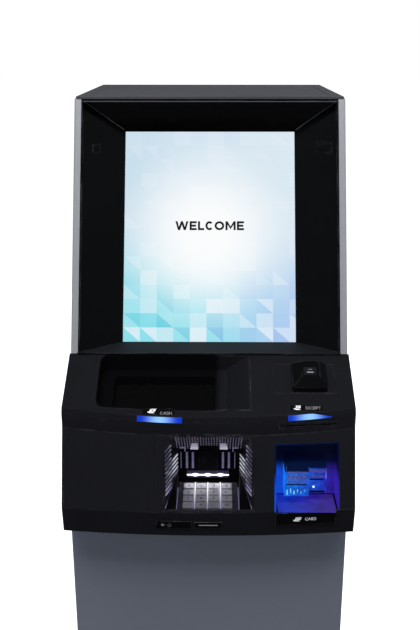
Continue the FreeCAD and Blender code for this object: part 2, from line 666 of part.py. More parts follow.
def key_block(grow, top, bottom):
    """Key-sized block with rounded corners, between two heights over the keypad face."""
    w = KEY_WIDTH / 2 + grow
    d = KEY_DEPTH / 2 + grow
    return rounded_plan(-w, w, -d, d, KEY_CORNER_R + grow, bottom, top)


def key_cap():
    """One metal key with a softened upper edge."""
    cap = key_block(0.0, KEY_PROUD, KEY_PROUD - KEY_BODY)
    rim = [e for e in cap.Edges if e.BoundBox.ZMin > KEY_PROUD - 1e-3]
    return cap.makeFillet(KEY_RIM_R, rim)


def keypad_body():
    """Steel keypad body with a well for each key."""
    y0 = KEYPAD_FRONT_Y
    y1 = KEYPAD_REAR_Y
    body = bar_x([(y0, BAY_FLOOR_Z), (y1, BAY_FLOOR_Z), (y1, keypad_plane(y1)), (y0, keypad_plane(y0))],
                 KEYPAD_CENTRE_X - KEYPAD_HALF, KEYPAD_CENTRE_X + KEYPAD_HALF)
    depth = KEY_BODY - KEY_PROUD + KEY_TRAVEL + WELL_SPARE
    for _, x, y in key_centres():
        body = body.cut(tilted(key_block(KEY_GAP, KEY_BODY, -depth), x, y))
    return body


def keypad_lamp():
    """Light bar along the foot of the bay's back wall, under the hood."""
    x0, x1, z0, z1 = LAMP
    return box(x0, x1, BAY_BACK_Y - LAMP_THICK, BAY_BACK_Y, z0, z1)


def card_bay():
    """Liner of the card bay, with a window for the reader's mouthpiece."""
    body = card_bay_block(CARD_BAY_WALL).cut(card_bay_block(0.0))
    body = body.common(panel_block(0.0, HALF_CONSOLE))
    body = body.cut(box(-FAR, FAR, -FAR, 0, 0, CARD_BAY[2]))
    window = box(BEZEL_LEFT[0] + 3, BEZEL_RIGHT[1] - 3, CARD_BAY_BACK_Y - 5, 0,
                 BEZEL_Z[0] + 3, BEZEL_Z[1] - 3)
    return body.cut(window)


def card_bezel():
    """Translucent mouthpiece in two steps, with the card slot running through both."""
    z0, z1 = BEZEL_Z
    blocks = []
    for x0, x1, front in (BEZEL_LEFT, BEZEL_RIGHT):
        lean = 3.0
        blocks.append(bar_x([(front, z0 + 6), (front, z1 - 14), (front + lean, z1), (CARD_BAY_BACK_Y, z1),
                             (CARD_BAY_BACK_Y, z0), (front + lean, z0)], x0, x1))
    body = blocks[0].fuse(blocks[1]).removeSplitter()
    h = CARD_SLOT_HEIGHT / 2
    mouth = box(CARD_SLOT[0], CARD_SLOT[1], -FAR, 0, CARD_SLOT_Z - h, CARD_SLOT_Z + h)
    body = body.cut(mouth)
    return body


def band_plate(x0, x1, z0, z1):
    """Thin plate on the face of the bottom band."""
    slab = band_block(-PLATE_PROUD, HALF_CONSOLE).cut(band_block(0.0, HALF_CONSOLE))
    return slab.common(box(x0, x1, -FAR, 0, z0, z1))


def headset_plate():
    """Plate with a headphone jack."""
    x0, x1, z0, z1 = HEADSET
    hole = rod(Vector(JACK_X, -FAR, (z0 + z1) / 2), Vector(0, 1, 0), JACK_R, FAR)
    return band_plate(x0, x1, z0, z1).cut(hole)


# ================================================================ cabinet
def base_plinth():
    """Folded steel plinth with anchor holes and threaded corner blocks for the feet."""
    half = HALF_CABINET - PLINTH_SIDE_INSET
    rear = REAR_Y - PLINTH_SIDE_INSET
    body = box(-half, half, PLINTH_FRONT_Y, rear, 0, PLINTH_HEIGHT)
    s = PLINTH_SKIRT
    body = body.cut(box(-half + s, half - s, PLINTH_FRONT_Y + s, rear - s, -1, PLINTH_HEIGHT - PLINTH_TOP))
    for x, y in foot_places():
        b = FOOT_STUD_R + 6
        body = body.fuse(box(x - b, x + b, y - b, y + b, PLINTH_HEIGHT - PLINTH_TOP - FOOT_BLOCK_HEIGHT,
                             PLINTH_HEIGHT - PLINTH_TOP))
    for x, y in foot_places():
        body = body.cut(rod(Vector(x, y, 0), Vector(0, 0, 1), FOOT_STUD_R + RUN, PLINTH_HEIGHT + 1))
    for x, y in anchor_places():
        body = body.cut(rod(Vector(x, y, 0), Vector(0, 0, 1), ANCHOR_R, PLINTH_HEIGHT + 1))
    return body


def foot_places():
    """The four levelling feet, inside the plinth's corners."""
    half = HALF_CABINET - PLINTH_SIDE_INSET - PLINTH_SKIRT - FOOT_INSET
    y0 = PLINTH_FRONT_Y + PLINTH_SKIRT + FOOT_INSET
    y1 = REAR_Y - PLINTH_SIDE_INSET - PLINTH_SKIRT - FOOT_INSET
    return [(x, y) for x in (-half, half) for y in (y0, y1)]


def anchor_places():
    """The four floor anchors."""
    return [(sx * ANCHOR_X / 2, ANCHOR_CENTRE_Y + sy * ANCHOR_Y / 2) for sx in (-1, 1) for sy in (-1, 1)]


def levelling_feet():
    """Pads and studs of the four levelling feet, screwed fully in."""
    feet = []
    for x, y in foot_places():
        pad = rod(Vector(x, y, FOOT_GROUND_GAP), Vector(0, 0, 1), FOOT_PAD_R, FOOT_PAD_HEIGHT)
        stud_top = PLINTH_HEIGHT - PLINTH_TOP
        stud = rod(Vector(x, y, FOOT_GROUND_GAP), Vector(0, 0, 1), FOOT_STUD_R, stud_top - FOOT_GROUND_GAP)
        feet.append(pad.fuse(stud).removeSplitter())
    return Part.makeCompound(feet)


def side_outline(inset):
    """Y-Z outline of a side panel, moved in all round by an inset."""
    i = inset
    lean = i / math.cos(math.radians(HEAD_LEAN))
    step = BAND_BOTTOM_Z - DOOR_CONSOLE_GAP
    return [(SIDE_FRONT_Y + i, PLINTH_HEIGHT + i), (SIDE_FRONT_Y + i, step - i), (HEAD_FRONT_Y + i, step - i),
            (HEAD_FRONT_Y + i, DECK_REAR_Z + i * math.tan(math.radians(HEAD_LEAN / 2))),
            (head_y(TOP_UNDER - i) + lean, TOP_UNDER - i), (REAR_Y - SHEET - i, TOP_UNDER - i),
            (REAR_Y - SHEET - i, PLINTH_HEIGHT + i)]


def side_panel(side):
    """Side panel, a steel pan whose folded edges face inwards; its front edge shows beside the screen."""
    pan = bar_x(side_outline(0.0), HALF_CABINET - RETURN, HALF_CABINET)
    outer = [e for e in pan.Edges if e.BoundBox.XMin > HALF_CABINET - 0.01 and e.BoundBox.YMax < 0
             and e.BoundBox.ZLength > 100]
    pan = pan.makeFillet(RETURN_EDGE_R, outer)
    pan = pan.cut(bar_x(side_outline(RETURN), HALF_CABINET - RETURN - 1, HALF_CABINET - SHEET))
    if side < 0:
        return pan.mirror(Vector(0, 0, 0), Vector(1, 0, 0))
    for top in HINGE_TOPS:
        y = SIDE_FRONT_Y + HINGE_R + 3
        pan = pan.cut(box(HINGE_X - HINGE_R - 4, FAR, SIDE_FRONT_Y - 1, y, top - HINGE_LENGTH - 1, top + 1))
    return pan


def rear_panel():
    """Rear sheet with two groups of cooling louvres and the inlet's cut-out."""
    sheet = box(-HALF_CABINET, HALF_CABINET, REAR_Y - SHEET, REAR_Y, PLINTH_HEIGHT, TOP_UNDER)
    for x0 in LOUVRE_GROUPS:
        for i in range(LOUVRE_COUNT):
            z = LOUVRE_BOTTOM_Z + i * LOUVRE_PITCH
            sheet = sheet.cut(box(x0, x0 + LOUVRE_WIDTH, REAR_Y - 10, REAR_Y + 10, z, z + LOUVRE_SLOT))
    x0, x1, z0, z1 = INLET
    return sheet.cut(box(x0 - FIT, x1 + FIT, REAR_Y - 10, REAR_Y + 10, z0 - FIT, z1 + FIT))


def top_cover():
    """Top plate with a shallow groove round its middle panel."""
    half = HALF_CABINET - TOP_SIDE_INSET
    front = head_y(TOP_UNDER) - TOP_OVERHANG
    plate = rounded_plan(-half, half, front, REAR_Y, TOP_CORNER_R, TOP_UNDER, HEIGHT)
    upper = [e for e in plate.Edges if e.BoundBox.ZMin > HEIGHT - 1e-3]
    plate = plate.makeFillet(TOP_EDGE_R, upper)
    g = TOP_GROOVE_INSET
    groove = box(-half + g, half - g, front + g, REAR_Y - g, HEIGHT - TOP_GROOVE, HEIGHT + 1)
    w = TOP_GROOVE
    island = box(-half + g + w, half - g - w, front + g + w, REAR_Y - g - w, 0, HEIGHT + 1)
    return plate.cut(groove.cut(island))


def front_door():
    """Door pan hinged on the right, with knuckles for the upper half of each hinge."""
    skin = box(-HALF_CABINET, HALF_CABINET, DOOR_FRONT_Y, DOOR_REAR_Y, DOOR_BOTTOM, DOOR_TOP)
    front = [e for e in skin.Edges if e.BoundBox.YMax < DOOR_FRONT_Y + 0.01]
    skin = skin.makeFillet(DOOR_EDGE_R, front)
    rim = DOOR_RIM
    pocket = box(-HALF_CABINET + rim, HALF_CABINET - rim, DOOR_FRONT_Y + SHEET, DOOR_REAR_Y + 1,
                 DOOR_BOTTOM + rim, DOOR_TOP - rim)
    door = skin.cut(pocket)
    half = HINGE_LENGTH / 2
    for top in HINGE_TOPS:
        knuckle = rod(Vector(HINGE_X, HINGE_Y, top - half + FIT), Vector(0, 0, 1), HINGE_R, half - FIT)
        web = box(HINGE_X - HINGE_R, HINGE_X, DOOR_REAR_Y - 1, HINGE_Y, top - half + FIT, top)
        door = door.fuse(knuckle.fuse(web))
    for top in HINGE_TOPS:
        door = door.cut(rod(Vector(HINGE_X, HINGE_Y, top - HINGE_LENGTH), Vector(0, 0, 1),
                            HINGE_PIN_R + RUN, HINGE_LENGTH - HINGE_PIN_SHORT + 2.0))
    lock = rod(Vector(LOCK_X, DOOR_FRONT_Y - 5, LOCK_Z), Vector(0, 1, 0), LOCK_R + RUN, 60)
    boss = rod(Vector(LOCK_X, DOOR_FRONT_Y, LOCK_Z), Vector(0, 1, 0), LOCK_R + 5, DOOR_THICK - 2)
    return door.fuse(boss).cut(lock).removeSplitter()


def door_hinges():
    """Lower halves of the two door hinges and their pins, fixed to the right side panel."""
    hinges = []
    half = HINGE_LENGTH / 2
    for top in HINGE_TOPS:
        bottom = top - HINGE_LENGTH
        knuckle = rod(Vector(HINGE_X, HINGE_Y, bottom), Vector(0, 0, 1), HINGE_R, half)
        leaf = box(HINGE_X - HINGE_R, HINGE_X, HINGE_Y, SIDE_FRONT_Y + HINGE_R + 3, bottom, bottom + half)
        pin = rod(Vector(HINGE_X, HINGE_Y, bottom), Vector(0, 0, 1), HINGE_PIN_R,
                  HINGE_LENGTH - HINGE_PIN_SHORT)
        hinges.append(knuckle.fuse(leaf).fuse(pin).removeSplitter())
    return Part.makeCompound(hinges)


def door_lock():
    """Key cylinder of the front door, with a key slot."""
    body = rod(Vector(LOCK_X, DOOR_FRONT_Y - LOCK_PROUD, LOCK_Z), Vector(0, 1, 0), LOCK_R, DOOR_THICK)
    half, rise, depth = LOCK_KEYHOLE
    return body.cut(box(LOCK_X - half, LOCK_X + half, DOOR_FRONT_Y - 2 * LOCK_PROUD, DOOR_FRONT_Y + depth,
                        LOCK_Z - rise, LOCK_Z + rise))


# ================================================================ head
def leaned(shape):
    """Turn a piece made upright round the screen's bottom edge to the screen's lean."""
    shape.rotate(Vector(0, 0, 0), Vector(1, 0, 0), -SCREEN_LEAN)
    shape.translate(Vector(0, SCREEN_Y, SCREEN_Z))
    return shape


def funnel(wall):
    """Hollow from in front of the housing's leaning edge to the screen, grown by a wall.

    The tapered part runs parallel to the screen, and a straight collar carries it forward.
    """
    half = HALF_CABINET - RETURN - FIT - SURROUND_WALL + wall
    w = SCREEN_WIDTH / 2 + wall
    low = SCREEN_Z - wall
    rise = SURROUND_TOP - SURROUND_WALL + wall
    lean = math.tan(math.radians(SCREEN_LEAN))
    low_y = HEAD_FRONT_Y + (SCREEN_Z - DECK_REAR_Z) * HEAD_TAN - wall * lean
    top_y = low_y + (rise - low) * lean
    back_z = SCREEN_Z + SCREEN_HEIGHT * SCREEN_COS + wall
    back_low_y = SCREEN_Y - wall * lean
    back_y = back_low_y + (back_z - low) * lean
    front = [(-half, low_y, low), (half, low_y, low), (half, top_y, rise), (-half, top_y, rise)]
    back = [(-w, back_low_y, low), (w, back_low_y, low), (w, back_y, back_z), (-w, back_y, back_z)]
    collar = bar_x([(low_y, low), (top_y, rise), (top_y - COLLAR_RUN, rise), (low_y - COLLAR_RUN, low)],
                   -half, half)
    return frustum(front, back).fuse(collar)


def behind_edge():
    """Everything behind the side panels' leaning front edge, over the surround's height."""
    low = SCREEN_Z - SURROUND_WALL
    return bar_x([(head_y(low), low), (head_y(SURROUND_TOP), SURROUND_TOP), (REAR_Y, SURROUND_TOP),
                  (REAR_Y, low)], -HALF_CABINET, HALF_CABINET)


def display_surround():
    """Black picture-frame surround with its ledge; camera hole on the left, speaker slots on the right."""
    body = funnel(SURROUND_WALL).cut(funnel(0.0)).common(behind_edge())
    lip = box(-HALF_CABINET + RETURN + FIT, HALF_CABINET - RETURN - FIT, head_y(SCREEN_Z) - LEDGE_LIP,
              head_y(SCREEN_Z) + 0.5, SCREEN_Z - 1.5, SCREEN_Z)
    body = body.fuse(lip)
    body = body.cut(speaker_slots()).cut(camera_block(FIT))
    return body.removeSplitter()


def wall_frame(side):
    """Origin and directions of a surround side wall: inwards, up along the wall, and out of its face."""
    half = HALF_CABINET - RETURN - FIT - SURROUND_WALL
    start = Vector(side * half, head_y(SCREEN_Z), SCREEN_Z)
    inward = Vector(side * SCREEN_WIDTH / 2, SCREEN_Y, SCREEN_Z).sub(start).normalize()
    up = Vector(0, SCREEN_SIN, SCREEN_COS)
    out = inward.cross(up).normalize()
    if out.y > 0:
        out = out.negative()
    return start, inward, up, out


def on_wall(side, along, height, w, h, depth, proud):
    """Block set square to a side wall of the surround."""
    start, inward, up, out = wall_frame(side)
    centre = start + inward * along + up * height
    corner = centre - inward * (w / 2) - up * (h / 2) + out * proud
    edges = [corner, corner + inward * w, corner + inward * w + up * h, corner + up * h]
    return Part.Face(Part.makePolygon(edges + edges[:1])).extrude(out * -(depth + proud))


def speaker_slots():
    """Row of level slots through the right wall."""
    slots = []
    for i in range(SPEAKER_SLOTS):
        height = SPEAKER_HEIGHT + (i - (SPEAKER_SLOTS - 1) / 2) * SPEAKER_SLOT_PITCH
        slots.append(on_wall(1, SPEAKER_ALONG, height, SPEAKER_SLOT_LENGTH, SPEAKER_SLOT,
                             4 * SURROUND_WALL, 2 * SURROUND_WALL))
    return Part.makeCompound(slots)


def speaker():
    """Small loudspeaker box behind the slots."""
    length, rise, depth = SPEAKER_BOX
    return on_wall(1, SPEAKER_ALONG + length / 5, SPEAKER_HEIGHT, length, rise, depth, -SURROUND_WALL - FIT)


def camera_block(grow):
    """Window of the customer camera, set in the left wall."""
    size = CAMERA_SIZE + 2 * grow
    return on_wall(-1, CAMERA_ALONG, CAMERA_HEIGHT, size, size, SURROUND_WALL + CAMERA_DEPTH, grow * 10)


def display_glass():
    """Touch glass in front of the display."""
    w = SCREEN_WIDTH / 2 + GLASS_MARGIN
    pane = box(-w, w, FIT, FIT + GLASS, -GLASS_MARGIN, SCREEN_HEIGHT + GLASS_MARGIN)
    return leaned(pane)


def display_panel():
    """Display module behind the glass, with its electronics box and two rails to the side panels."""
    w = SCREEN_WIDTH / 2 + DISPLAY_MARGIN
    front = FIT + GLASS
    top = SCREEN_HEIGHT + DISPLAY_MARGIN
    back = front + DISPLAY_SKIN
    body = box(-w, w, front, back, -DISPLAY_MARGIN, top)
    body = body.fuse(box(-w + 40, w - 40, back - 1, front + DISPLAY_THICK, 40, top - 60))
    inner = HALF_CABINET - RETURN - FIT
    for height in DISPLAY_RAILS:
        body = body.fuse(box(-inner, inner, back - 3, back, height - 12, height + 12))
    return leaned(body.removeSplitter())


# ================================================================ safe
def safe_body():
    """Open-fronted safe with bolt pockets on the left, anchor holes and a note passage in its roof."""
    half, front, rear, top = SAFE
    body = box(-half, half, front, rear, PLINTH_HEIGHT, top)
    w = SAFE_WALL
    body = body.cut(box(-half + w, half - w, front + w, rear - w, PLINTH_HEIGHT + w, top - w))
    f = SAFE_FRAME
    body = body.cut(box(-half + f, half - f, front - 1, front + w + 1, PLINTH_HEIGHT + f, top - f))
    for x, y in anchor_places():
        body = body.cut(rod(Vector(x, y, 0), Vector(0, 0, 1), ANCHOR_R, PLINTH_HEIGHT + w + 1))
    x0, x1, y0, y1 = TRANSPORT
    body = body.cut(box(x0 + 8, x1 - 8, y0 + 8, y1 - 8, top - w - 1, top + 1))
    return body.fuse(safe_hinges()).removeSplitter()


def safe_hinges():
    """Fixed knuckles and pins of the safe door."""
    half, front, rear, top = SAFE
    x = half - 1.0
    y = front - SAFE_HINGE_R - 0.5
    pieces = []
    for bottom in SAFE_HINGE_BOTTOMS:
        low = SAFE_HINGE_LENGTH / 2
        knuckle = rod(Vector(x, y, bottom), Vector(0, 0, 1), SAFE_HINGE_R, low)
        web = box(x - 3, x + 1, y, front + 1, bottom, bottom + low)
        pin = rod(Vector(x, y, bottom), Vector(0, 0, 1), SAFE_PIN_R, SAFE_HINGE_LENGTH - 6)
        pieces.append(knuckle.fuse(web).fuse(pin))
    return pieces[0].fuse(pieces[1])


def safe_door():
    """Safe door with hinge knuckles, a spindle bore and guides for its bolts behind."""
    half, front, rear, top = SAFE
    i = SAFE_DOOR_INSET
    y1 = front - 1.0
    y0 = y1 - SAFE_DOOR_THICK
    plate = box(-half + i, half - i - 8, y0, y1, PLINTH_HEIGHT + i + 4, top - i)
    x = half - 1.0
    y = front - SAFE_HINGE_R - 0.5
    for bottom in SAFE_HINGE_BOTTOMS:
        z0 = bottom + SAFE_HINGE_LENGTH / 2 + FIT
        z1 = bottom + SAFE_HINGE_LENGTH
        knuckle = rod(Vector(x, y, z0), Vector(0, 0, 1), SAFE_HINGE_R, z1 - z0)
        web = box(half - i - 9, x, y - 3, y + 3, z0, z1)
        plate = plate.fuse(knuckle.fuse(web))
    for bottom in SAFE_HINGE_BOTTOMS:
        plate = plate.cut(rod(Vector(x, y, bottom), Vector(0, 0, 1), SAFE_PIN_R + RUN, SAFE_HINGE_LENGTH - 3))
    for z in BOLT_HEIGHTS:
        x0 = -half + SAFE_FRAME + 3
        guide = box(x0, x0 + 36, y1 - 1, bolt_y() + BOLT_R + 4, z - BOLT_R - 5, z + BOLT_R + 5)
        hole = rod(Vector(x0 - 5, bolt_y(), z), Vector(1, 0, 0), BOLT_R + RUN, 60)
        plate = plate.fuse(guide).cut(hole)
    bore = rod(Vector(HANDLE_X, y0 - 5, HANDLE_Z), Vector(0, 1, 0), HANDLE_SPINDLE_R + RUN, 40)
    return plate.cut(bore).removeSplitter()


def bolt_y():
    """Centre line of the safe's bolts."""
    return SAFE[1] + SAFE_WALL + BOLT_R + BOLT_BACK_GAP


def safe_bolts():
    """Three locking bolts joined by a bar, drawn back in the stored pose."""
    half = SAFE[0]
    x0 = -half + SAFE_FRAME + 1.0
    bolts = []
    for z in BOLT_HEIGHTS:
        bolts.append(rod(Vector(x0, bolt_y(), z), Vector(1, 0, 0), BOLT_R, BOLT_LENGTH))
    body = box(x0 + BOLT_LENGTH - 8, x0 + BOLT_LENGTH, bolt_y() - 4, bolt_y() + 4,
               BOLT_HEIGHTS[0], BOLT_HEIGHTS[-1])
    for bolt in bolts:
        body = body.fuse(bolt)
    return body.removeSplitter()


def safe_handle():
    """Lever handle of the safe on its spindle."""
    y0 = SAFE[1] - 1.0 - SAFE_DOOR_THICK
    spindle = rod(Vector(HANDLE_X, y0 - 10, HANDLE_Z), Vector(0, 1, 0), HANDLE_SPINDLE_R,
                  10 + SAFE_DOOR_THICK)
    hub = rod(Vector(HANDLE_X, y0 - 1 - HANDLE_THICK, HANDLE_Z), Vector(0, 1, 0), 15.0, HANDLE_THICK)
    lever = rounded_plan(HANDLE_X - 8, HANDLE_X + 8, y0 - 1 - HANDLE_THICK, y0 - 1, 3.0,
                         HANDLE_Z - HANDLE_LENGTH, HANDLE_Z)
    return spindle.fuse(hub).fuse(lever).removeSplitter()


def note_cassettes():
    """Stack of note cassettes with grip recesses in their fronts."""
    half, front, rear, height = CASSETTE
    stack = []
    w = CASSETTE_WALL
    for i in range(CASSETTE_COUNT):
        z = PLINTH_HEIGHT + SAFE_WALL + CASSETTE_LIFT + i * CASSETTE_PITCH
        body = box(-half, half, front, rear, z, z + height)
        body = body.cut(box(-half + w, half - w, front + 30, rear - w, z + w, z + height - w))
        body = body.cut(box(-half + 30, half - 30, rear - 30, rear - 12, z + height - 2 * w, z + height + 1))
        grip, depth, low, high = CASSETTE_GRIP
        body = body.cut(box(-grip, grip, front - 1, front + depth, z + low, z + high))
        stack.append(body)
    return Part.makeCompound(stack)


def cash_dispenser():
    """Note picker on top of the cassettes, feeding the transport above."""
    half, front, rear, height = CASSETTE
    z0 = PLINTH_HEIGHT + SAFE_WALL + CASSETTE_LIFT + CASSETTE_COUNT * CASSETTE_PITCH
    z1 = SAFE[3] - SAFE_WALL - 4
    body = case(-half - 25, half + 25, front, rear, z0, z1, 3.0, 6)
    x0, x1, y0, y1 = TRANSPORT
    return body.cut(box(x0 + 10, x1 - 10, y0 + 20, y1 - 10, z1 - 5, z1 + 1))


# ================================================================ modules
def equipment_shelf():
    """Folded shelf over the safe, with the transport's opening."""
    inner = HALF_CABINET - RETURN - FIT
    front = HEAD_FRONT_Y - 30
    tray = box(-inner, inner, front, REAR_Y - SHEET - RETURN - 2, SHELF_Z - SHELF_SHEET, SHELF_Z)
    lip = box(-inner, inner, front, front + SHELF_SHEET, SHELF_Z - SHELF_LIP, SHELF_Z)
    x0, x1, y0, y1 = TRANSPORT
    gap = 2.0
    return tray.fuse(lip).cut(box(x0 - gap, x1 + gap, y0 - gap - 30, y1 + gap, 0, HEIGHT)).removeSplitter()


def note_transport():
    """Upright note path from the safe's roof to the tray, with a mouth facing forward at the top."""
    x0, x1, y0, y1 = TRANSPORT
    z0 = SAFE[3] + FIT
    body = box(x0, x1, y0, y1, z0, TRANSPORT_TOP)
    body = body.cut(box(x0 + 3, x1 - 3, y0 + 3, y1 - 3, z0 - 1, TRANSPORT_TOP - 3))
    return body.cut(box(x0 + 12, x1 - 12, y0 - 1, y0 + 4, TRANSPORT_TOP - 16, TRANSPORT_TOP - 7))


def computer_unit():
    """Computer case."""
    x0, x1, y0, y1, z1 = COMPUTER
    return case(x0, x1, y0, y1, SHELF_Z, z1, 2.0, 8)


def receipt_printer():
    """Printer frame: mechanism behind the slot and two cheeks that carry the paper roll."""
    x0, x1, y0, y1, z0, z1 = PRINTER
    body = box(x0, x1, y0, y1, z0, z1)
    throat = box(SLOT[0], SLOT[1], y0 - 1, y0 + 40, SLOT_Z - 2, SLOT_Z + 2)
    body = body.cut(throat).cut(box(x0 + 6, x1 - 6, y0 + 30, y1 + 1, z0 + 6, z1 - 24))
    inner = ROLL_WIDTH / 2 + 2.0
    middle = (x0 + x1) / 2
    for side in (-1, 1):
        a = middle + side * inner
        cheek = box(min(a, a + side * 4), max(a, a + side * 4), y1 - 5, ROLL_Y + 14, z0, z1)
        body = body.fuse(cheek)
    core = rod(Vector(middle - inner - 2, ROLL_Y, ROLL_Z), Vector(1, 0, 0), ROLL_CORE_R, 2 * inner + 4)
    return body.fuse(core).removeSplitter()


def paper_roll():
    """Receipt paper roll, turning on the printer's spindle."""
    middle = (PRINTER[0] + PRINTER[1]) / 2
    start = Vector(middle - ROLL_WIDTH / 2, ROLL_Y, ROLL_Z)
    roll = rod(start, Vector(1, 0, 0), ROLL_R, ROLL_WIDTH)
    return roll.cut(rod(start, Vector(1, 0, 0), ROLL_CORE_R + 0.1, ROLL_WIDTH))


def card_reader():
    """Motor card reader with its card path."""
    x0, x1, y0, y1, z0, z1 = CARD_READER
    body = box(x0, x1, y0, y1, z0, z1)
    h = CARD_SLOT_HEIGHT / 2
    path = box(CARD_SLOT[0], CARD_SLOT[1], y0 - 1, y0 + 90, CARD_SLOT_Z - h, CARD_SLOT_Z + h)
    return body.cut(path)


def power_inlet():
    """Mains inlet with its three blades, recessed in the rear."""
    x0, x1, z0, z1 = INLET
    half, rise = INLET_SOCKET
    body = box(x0, x1, REAR_Y - INLET_DEPTH - 3, REAR_Y - INLET_FLANGE, z0, z1)
    middle_x = (x0 + x1) / 2
    middle_z = (z0 + z1) / 2
    body = body.cut(box(middle_x - half, middle_x + half, REAR_Y - INLET_DEPTH, REAR_Y + 1,
                        middle_z - rise, middle_z + rise))
    for dx, dz in INLET_BLADES:
        x = middle_x + dx
        z = middle_z + dz
        body = body.fuse(box(x - 1, x + 1, REAR_Y - INLET_DEPTH - 1, REAR_Y - 8, z - 2, z + 2))
    return body.removeSplitter()


# ================================================================ write every piece
def main():
    """Build all the pieces."""
    os.makedirs("parts", exist_ok=True)
    pieces = {
        "base_plinth": base_plinth(), "levelling_feet": levelling_feet(),
        "side_panel_left": side_panel(-1), "side_panel_right": side_panel(1),
        "rear_panel": rear_panel(), "top_cover": top_cover(),
        "front_door": front_door(), "door_hinges": door_hinges(), "door_lock": door_lock(),
        "display_surround": display_surround(), "display_glass": display_glass(),
        "display_panel": display_panel(),
        "speaker": speaker(), "camera_window": camera_block(0.0),
        "console_cover": console_cover(), "console_panel": console_panel(),
        "blank_panel": panel_plate(-HALF_CONSOLE + CHEEK + FIT, SEAM_X - FIT),
        "cash_tray": cash_tray(), "cash_shutter": cash_shutter(),
        "guide_lights": Part.makeCompound([lip_light(*CASH_LIGHT), lip_light(*RECEIPT_LIGHT)]),
        "receipt_bezel": receipt_bezel(), "reader_frame": reader_frame(), "reader_block": reader_block(),
        "keypad_bay": keypad_bay(), "keypad_body": keypad_body(), "keypad_lamp": keypad_lamp(),
        "card_bay": card_bay(), "card_bezel": card_bezel(), "card_shelf": card_shelf(),
        "headset_plate": headset_plate(), "name_plate": band_plate(*NAME),
        "safe_body": safe_body(), "safe_door": safe_door(), "safe_handle": safe_handle(),
        "safe_bolts": safe_bolts(), "note_cassettes": note_cassettes(), "cash_dispenser": cash_dispenser(),
        "equipment_shelf": equipment_shelf(), "note_transport": note_transport(),
        "computer_unit": computer_unit(),
        "receipt_printer": receipt_printer(), "paper_roll": paper_roll(),
        "card_reader": card_reader(), "power_inlet": power_inlet()}
    for name, x, y in key_centres():
        pieces["key_" + name] = tilted(key_cap(), x, y)
    for name, shape in pieces.items():
        save(name, shape)


main()
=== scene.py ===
# %% [markdown]
# # Dressing a bank cash machine
# The machine already exists as exact metal and plastic parts. This lesson gives those parts their paint,
# mouldings, lights, screen picture and printed marks, so that the machine looks like one in a lobby.
# Blender works in metres. Sizes of small pieces are given in millimetres, and places are read from the parts.

# %% Load the finished parts
import json
import math

import bmesh
import bpy
from mathutils import Matrix, Vector

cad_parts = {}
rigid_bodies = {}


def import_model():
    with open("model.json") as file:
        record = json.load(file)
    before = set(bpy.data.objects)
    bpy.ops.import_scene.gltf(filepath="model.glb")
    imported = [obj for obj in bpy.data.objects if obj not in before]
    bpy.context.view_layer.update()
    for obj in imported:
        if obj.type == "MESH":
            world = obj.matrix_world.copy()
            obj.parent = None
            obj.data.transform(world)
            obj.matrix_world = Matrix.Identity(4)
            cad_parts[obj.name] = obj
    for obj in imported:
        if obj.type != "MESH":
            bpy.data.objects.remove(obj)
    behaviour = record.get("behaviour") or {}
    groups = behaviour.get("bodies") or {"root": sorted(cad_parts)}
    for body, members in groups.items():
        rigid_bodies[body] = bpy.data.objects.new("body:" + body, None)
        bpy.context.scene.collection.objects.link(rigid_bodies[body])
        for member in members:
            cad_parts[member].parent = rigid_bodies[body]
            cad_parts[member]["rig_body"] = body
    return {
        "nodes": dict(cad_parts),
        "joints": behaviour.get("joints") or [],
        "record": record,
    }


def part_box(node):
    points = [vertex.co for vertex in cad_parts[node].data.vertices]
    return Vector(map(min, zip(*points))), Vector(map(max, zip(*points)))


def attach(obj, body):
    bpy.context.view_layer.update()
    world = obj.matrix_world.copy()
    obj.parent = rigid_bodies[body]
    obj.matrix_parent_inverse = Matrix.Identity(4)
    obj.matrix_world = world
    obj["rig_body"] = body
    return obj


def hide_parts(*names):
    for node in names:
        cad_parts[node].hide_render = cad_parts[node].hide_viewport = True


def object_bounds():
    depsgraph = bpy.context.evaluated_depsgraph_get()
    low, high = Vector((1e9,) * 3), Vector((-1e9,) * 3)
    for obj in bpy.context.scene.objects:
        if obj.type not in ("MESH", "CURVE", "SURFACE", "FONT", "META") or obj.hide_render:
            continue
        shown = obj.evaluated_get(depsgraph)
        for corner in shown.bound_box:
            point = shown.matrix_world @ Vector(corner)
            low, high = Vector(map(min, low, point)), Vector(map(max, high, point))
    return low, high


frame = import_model()
parts_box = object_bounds()
MM = 0.001
nodes = frame["nodes"]
joints = {joint["name"]: joint for joint in frame["joints"]}
body_of = {name: part["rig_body"] for name, part in nodes.items()}
slot_of = {entry["node"]: entry["material_slot"] for entry in frame["record"]["subparts"]}
print("parts:", len(nodes), "size:", [round(high - low, 3) for low, high in zip(*parts_box)])


# %% [markdown]
# ## The camera
# The machine is seen from about eye height, a step and a half back, looking down at the console. The camera
# has a plain lens and no shift, so the uprights of the cabinet run slightly together towards the floor.

# %% Camera
CAMERA_PLACE = (0.01235, -1.5192, 1.5502)
LOOK_DOWN = 18.31
TURN = 0.46
LENS = 48.34

camera_data = bpy.data.cameras.new("camera")
camera_data.lens = LENS
camera_data.sensor_width = 36.0
camera = bpy.data.objects.new("camera", camera_data)
camera.location = CAMERA_PLACE
camera.rotation_euler = (math.radians(90 - LOOK_DOWN), 0, math.radians(TURN))
bpy.context.scene.collection.objects.link(camera)
bpy.context.scene.camera = camera
bpy.context.scene.view_settings.view_transform = "Standard"
print("camera at", CAMERA_PLACE)

# %% [markdown]
# ## Helpers for shader nodes
# Every finish is a small network of nodes. These helpers place one node each and hand back its output, so
# that a finish reads like a recipe.

# %% Node helpers
def join(tree, source, target):
    """Link two sockets, or set the second one to a number or a colour."""
    if isinstance(source, bpy.types.NodeSocket):
        tree.links.new(source, target)
    else:
        target.default_value = source


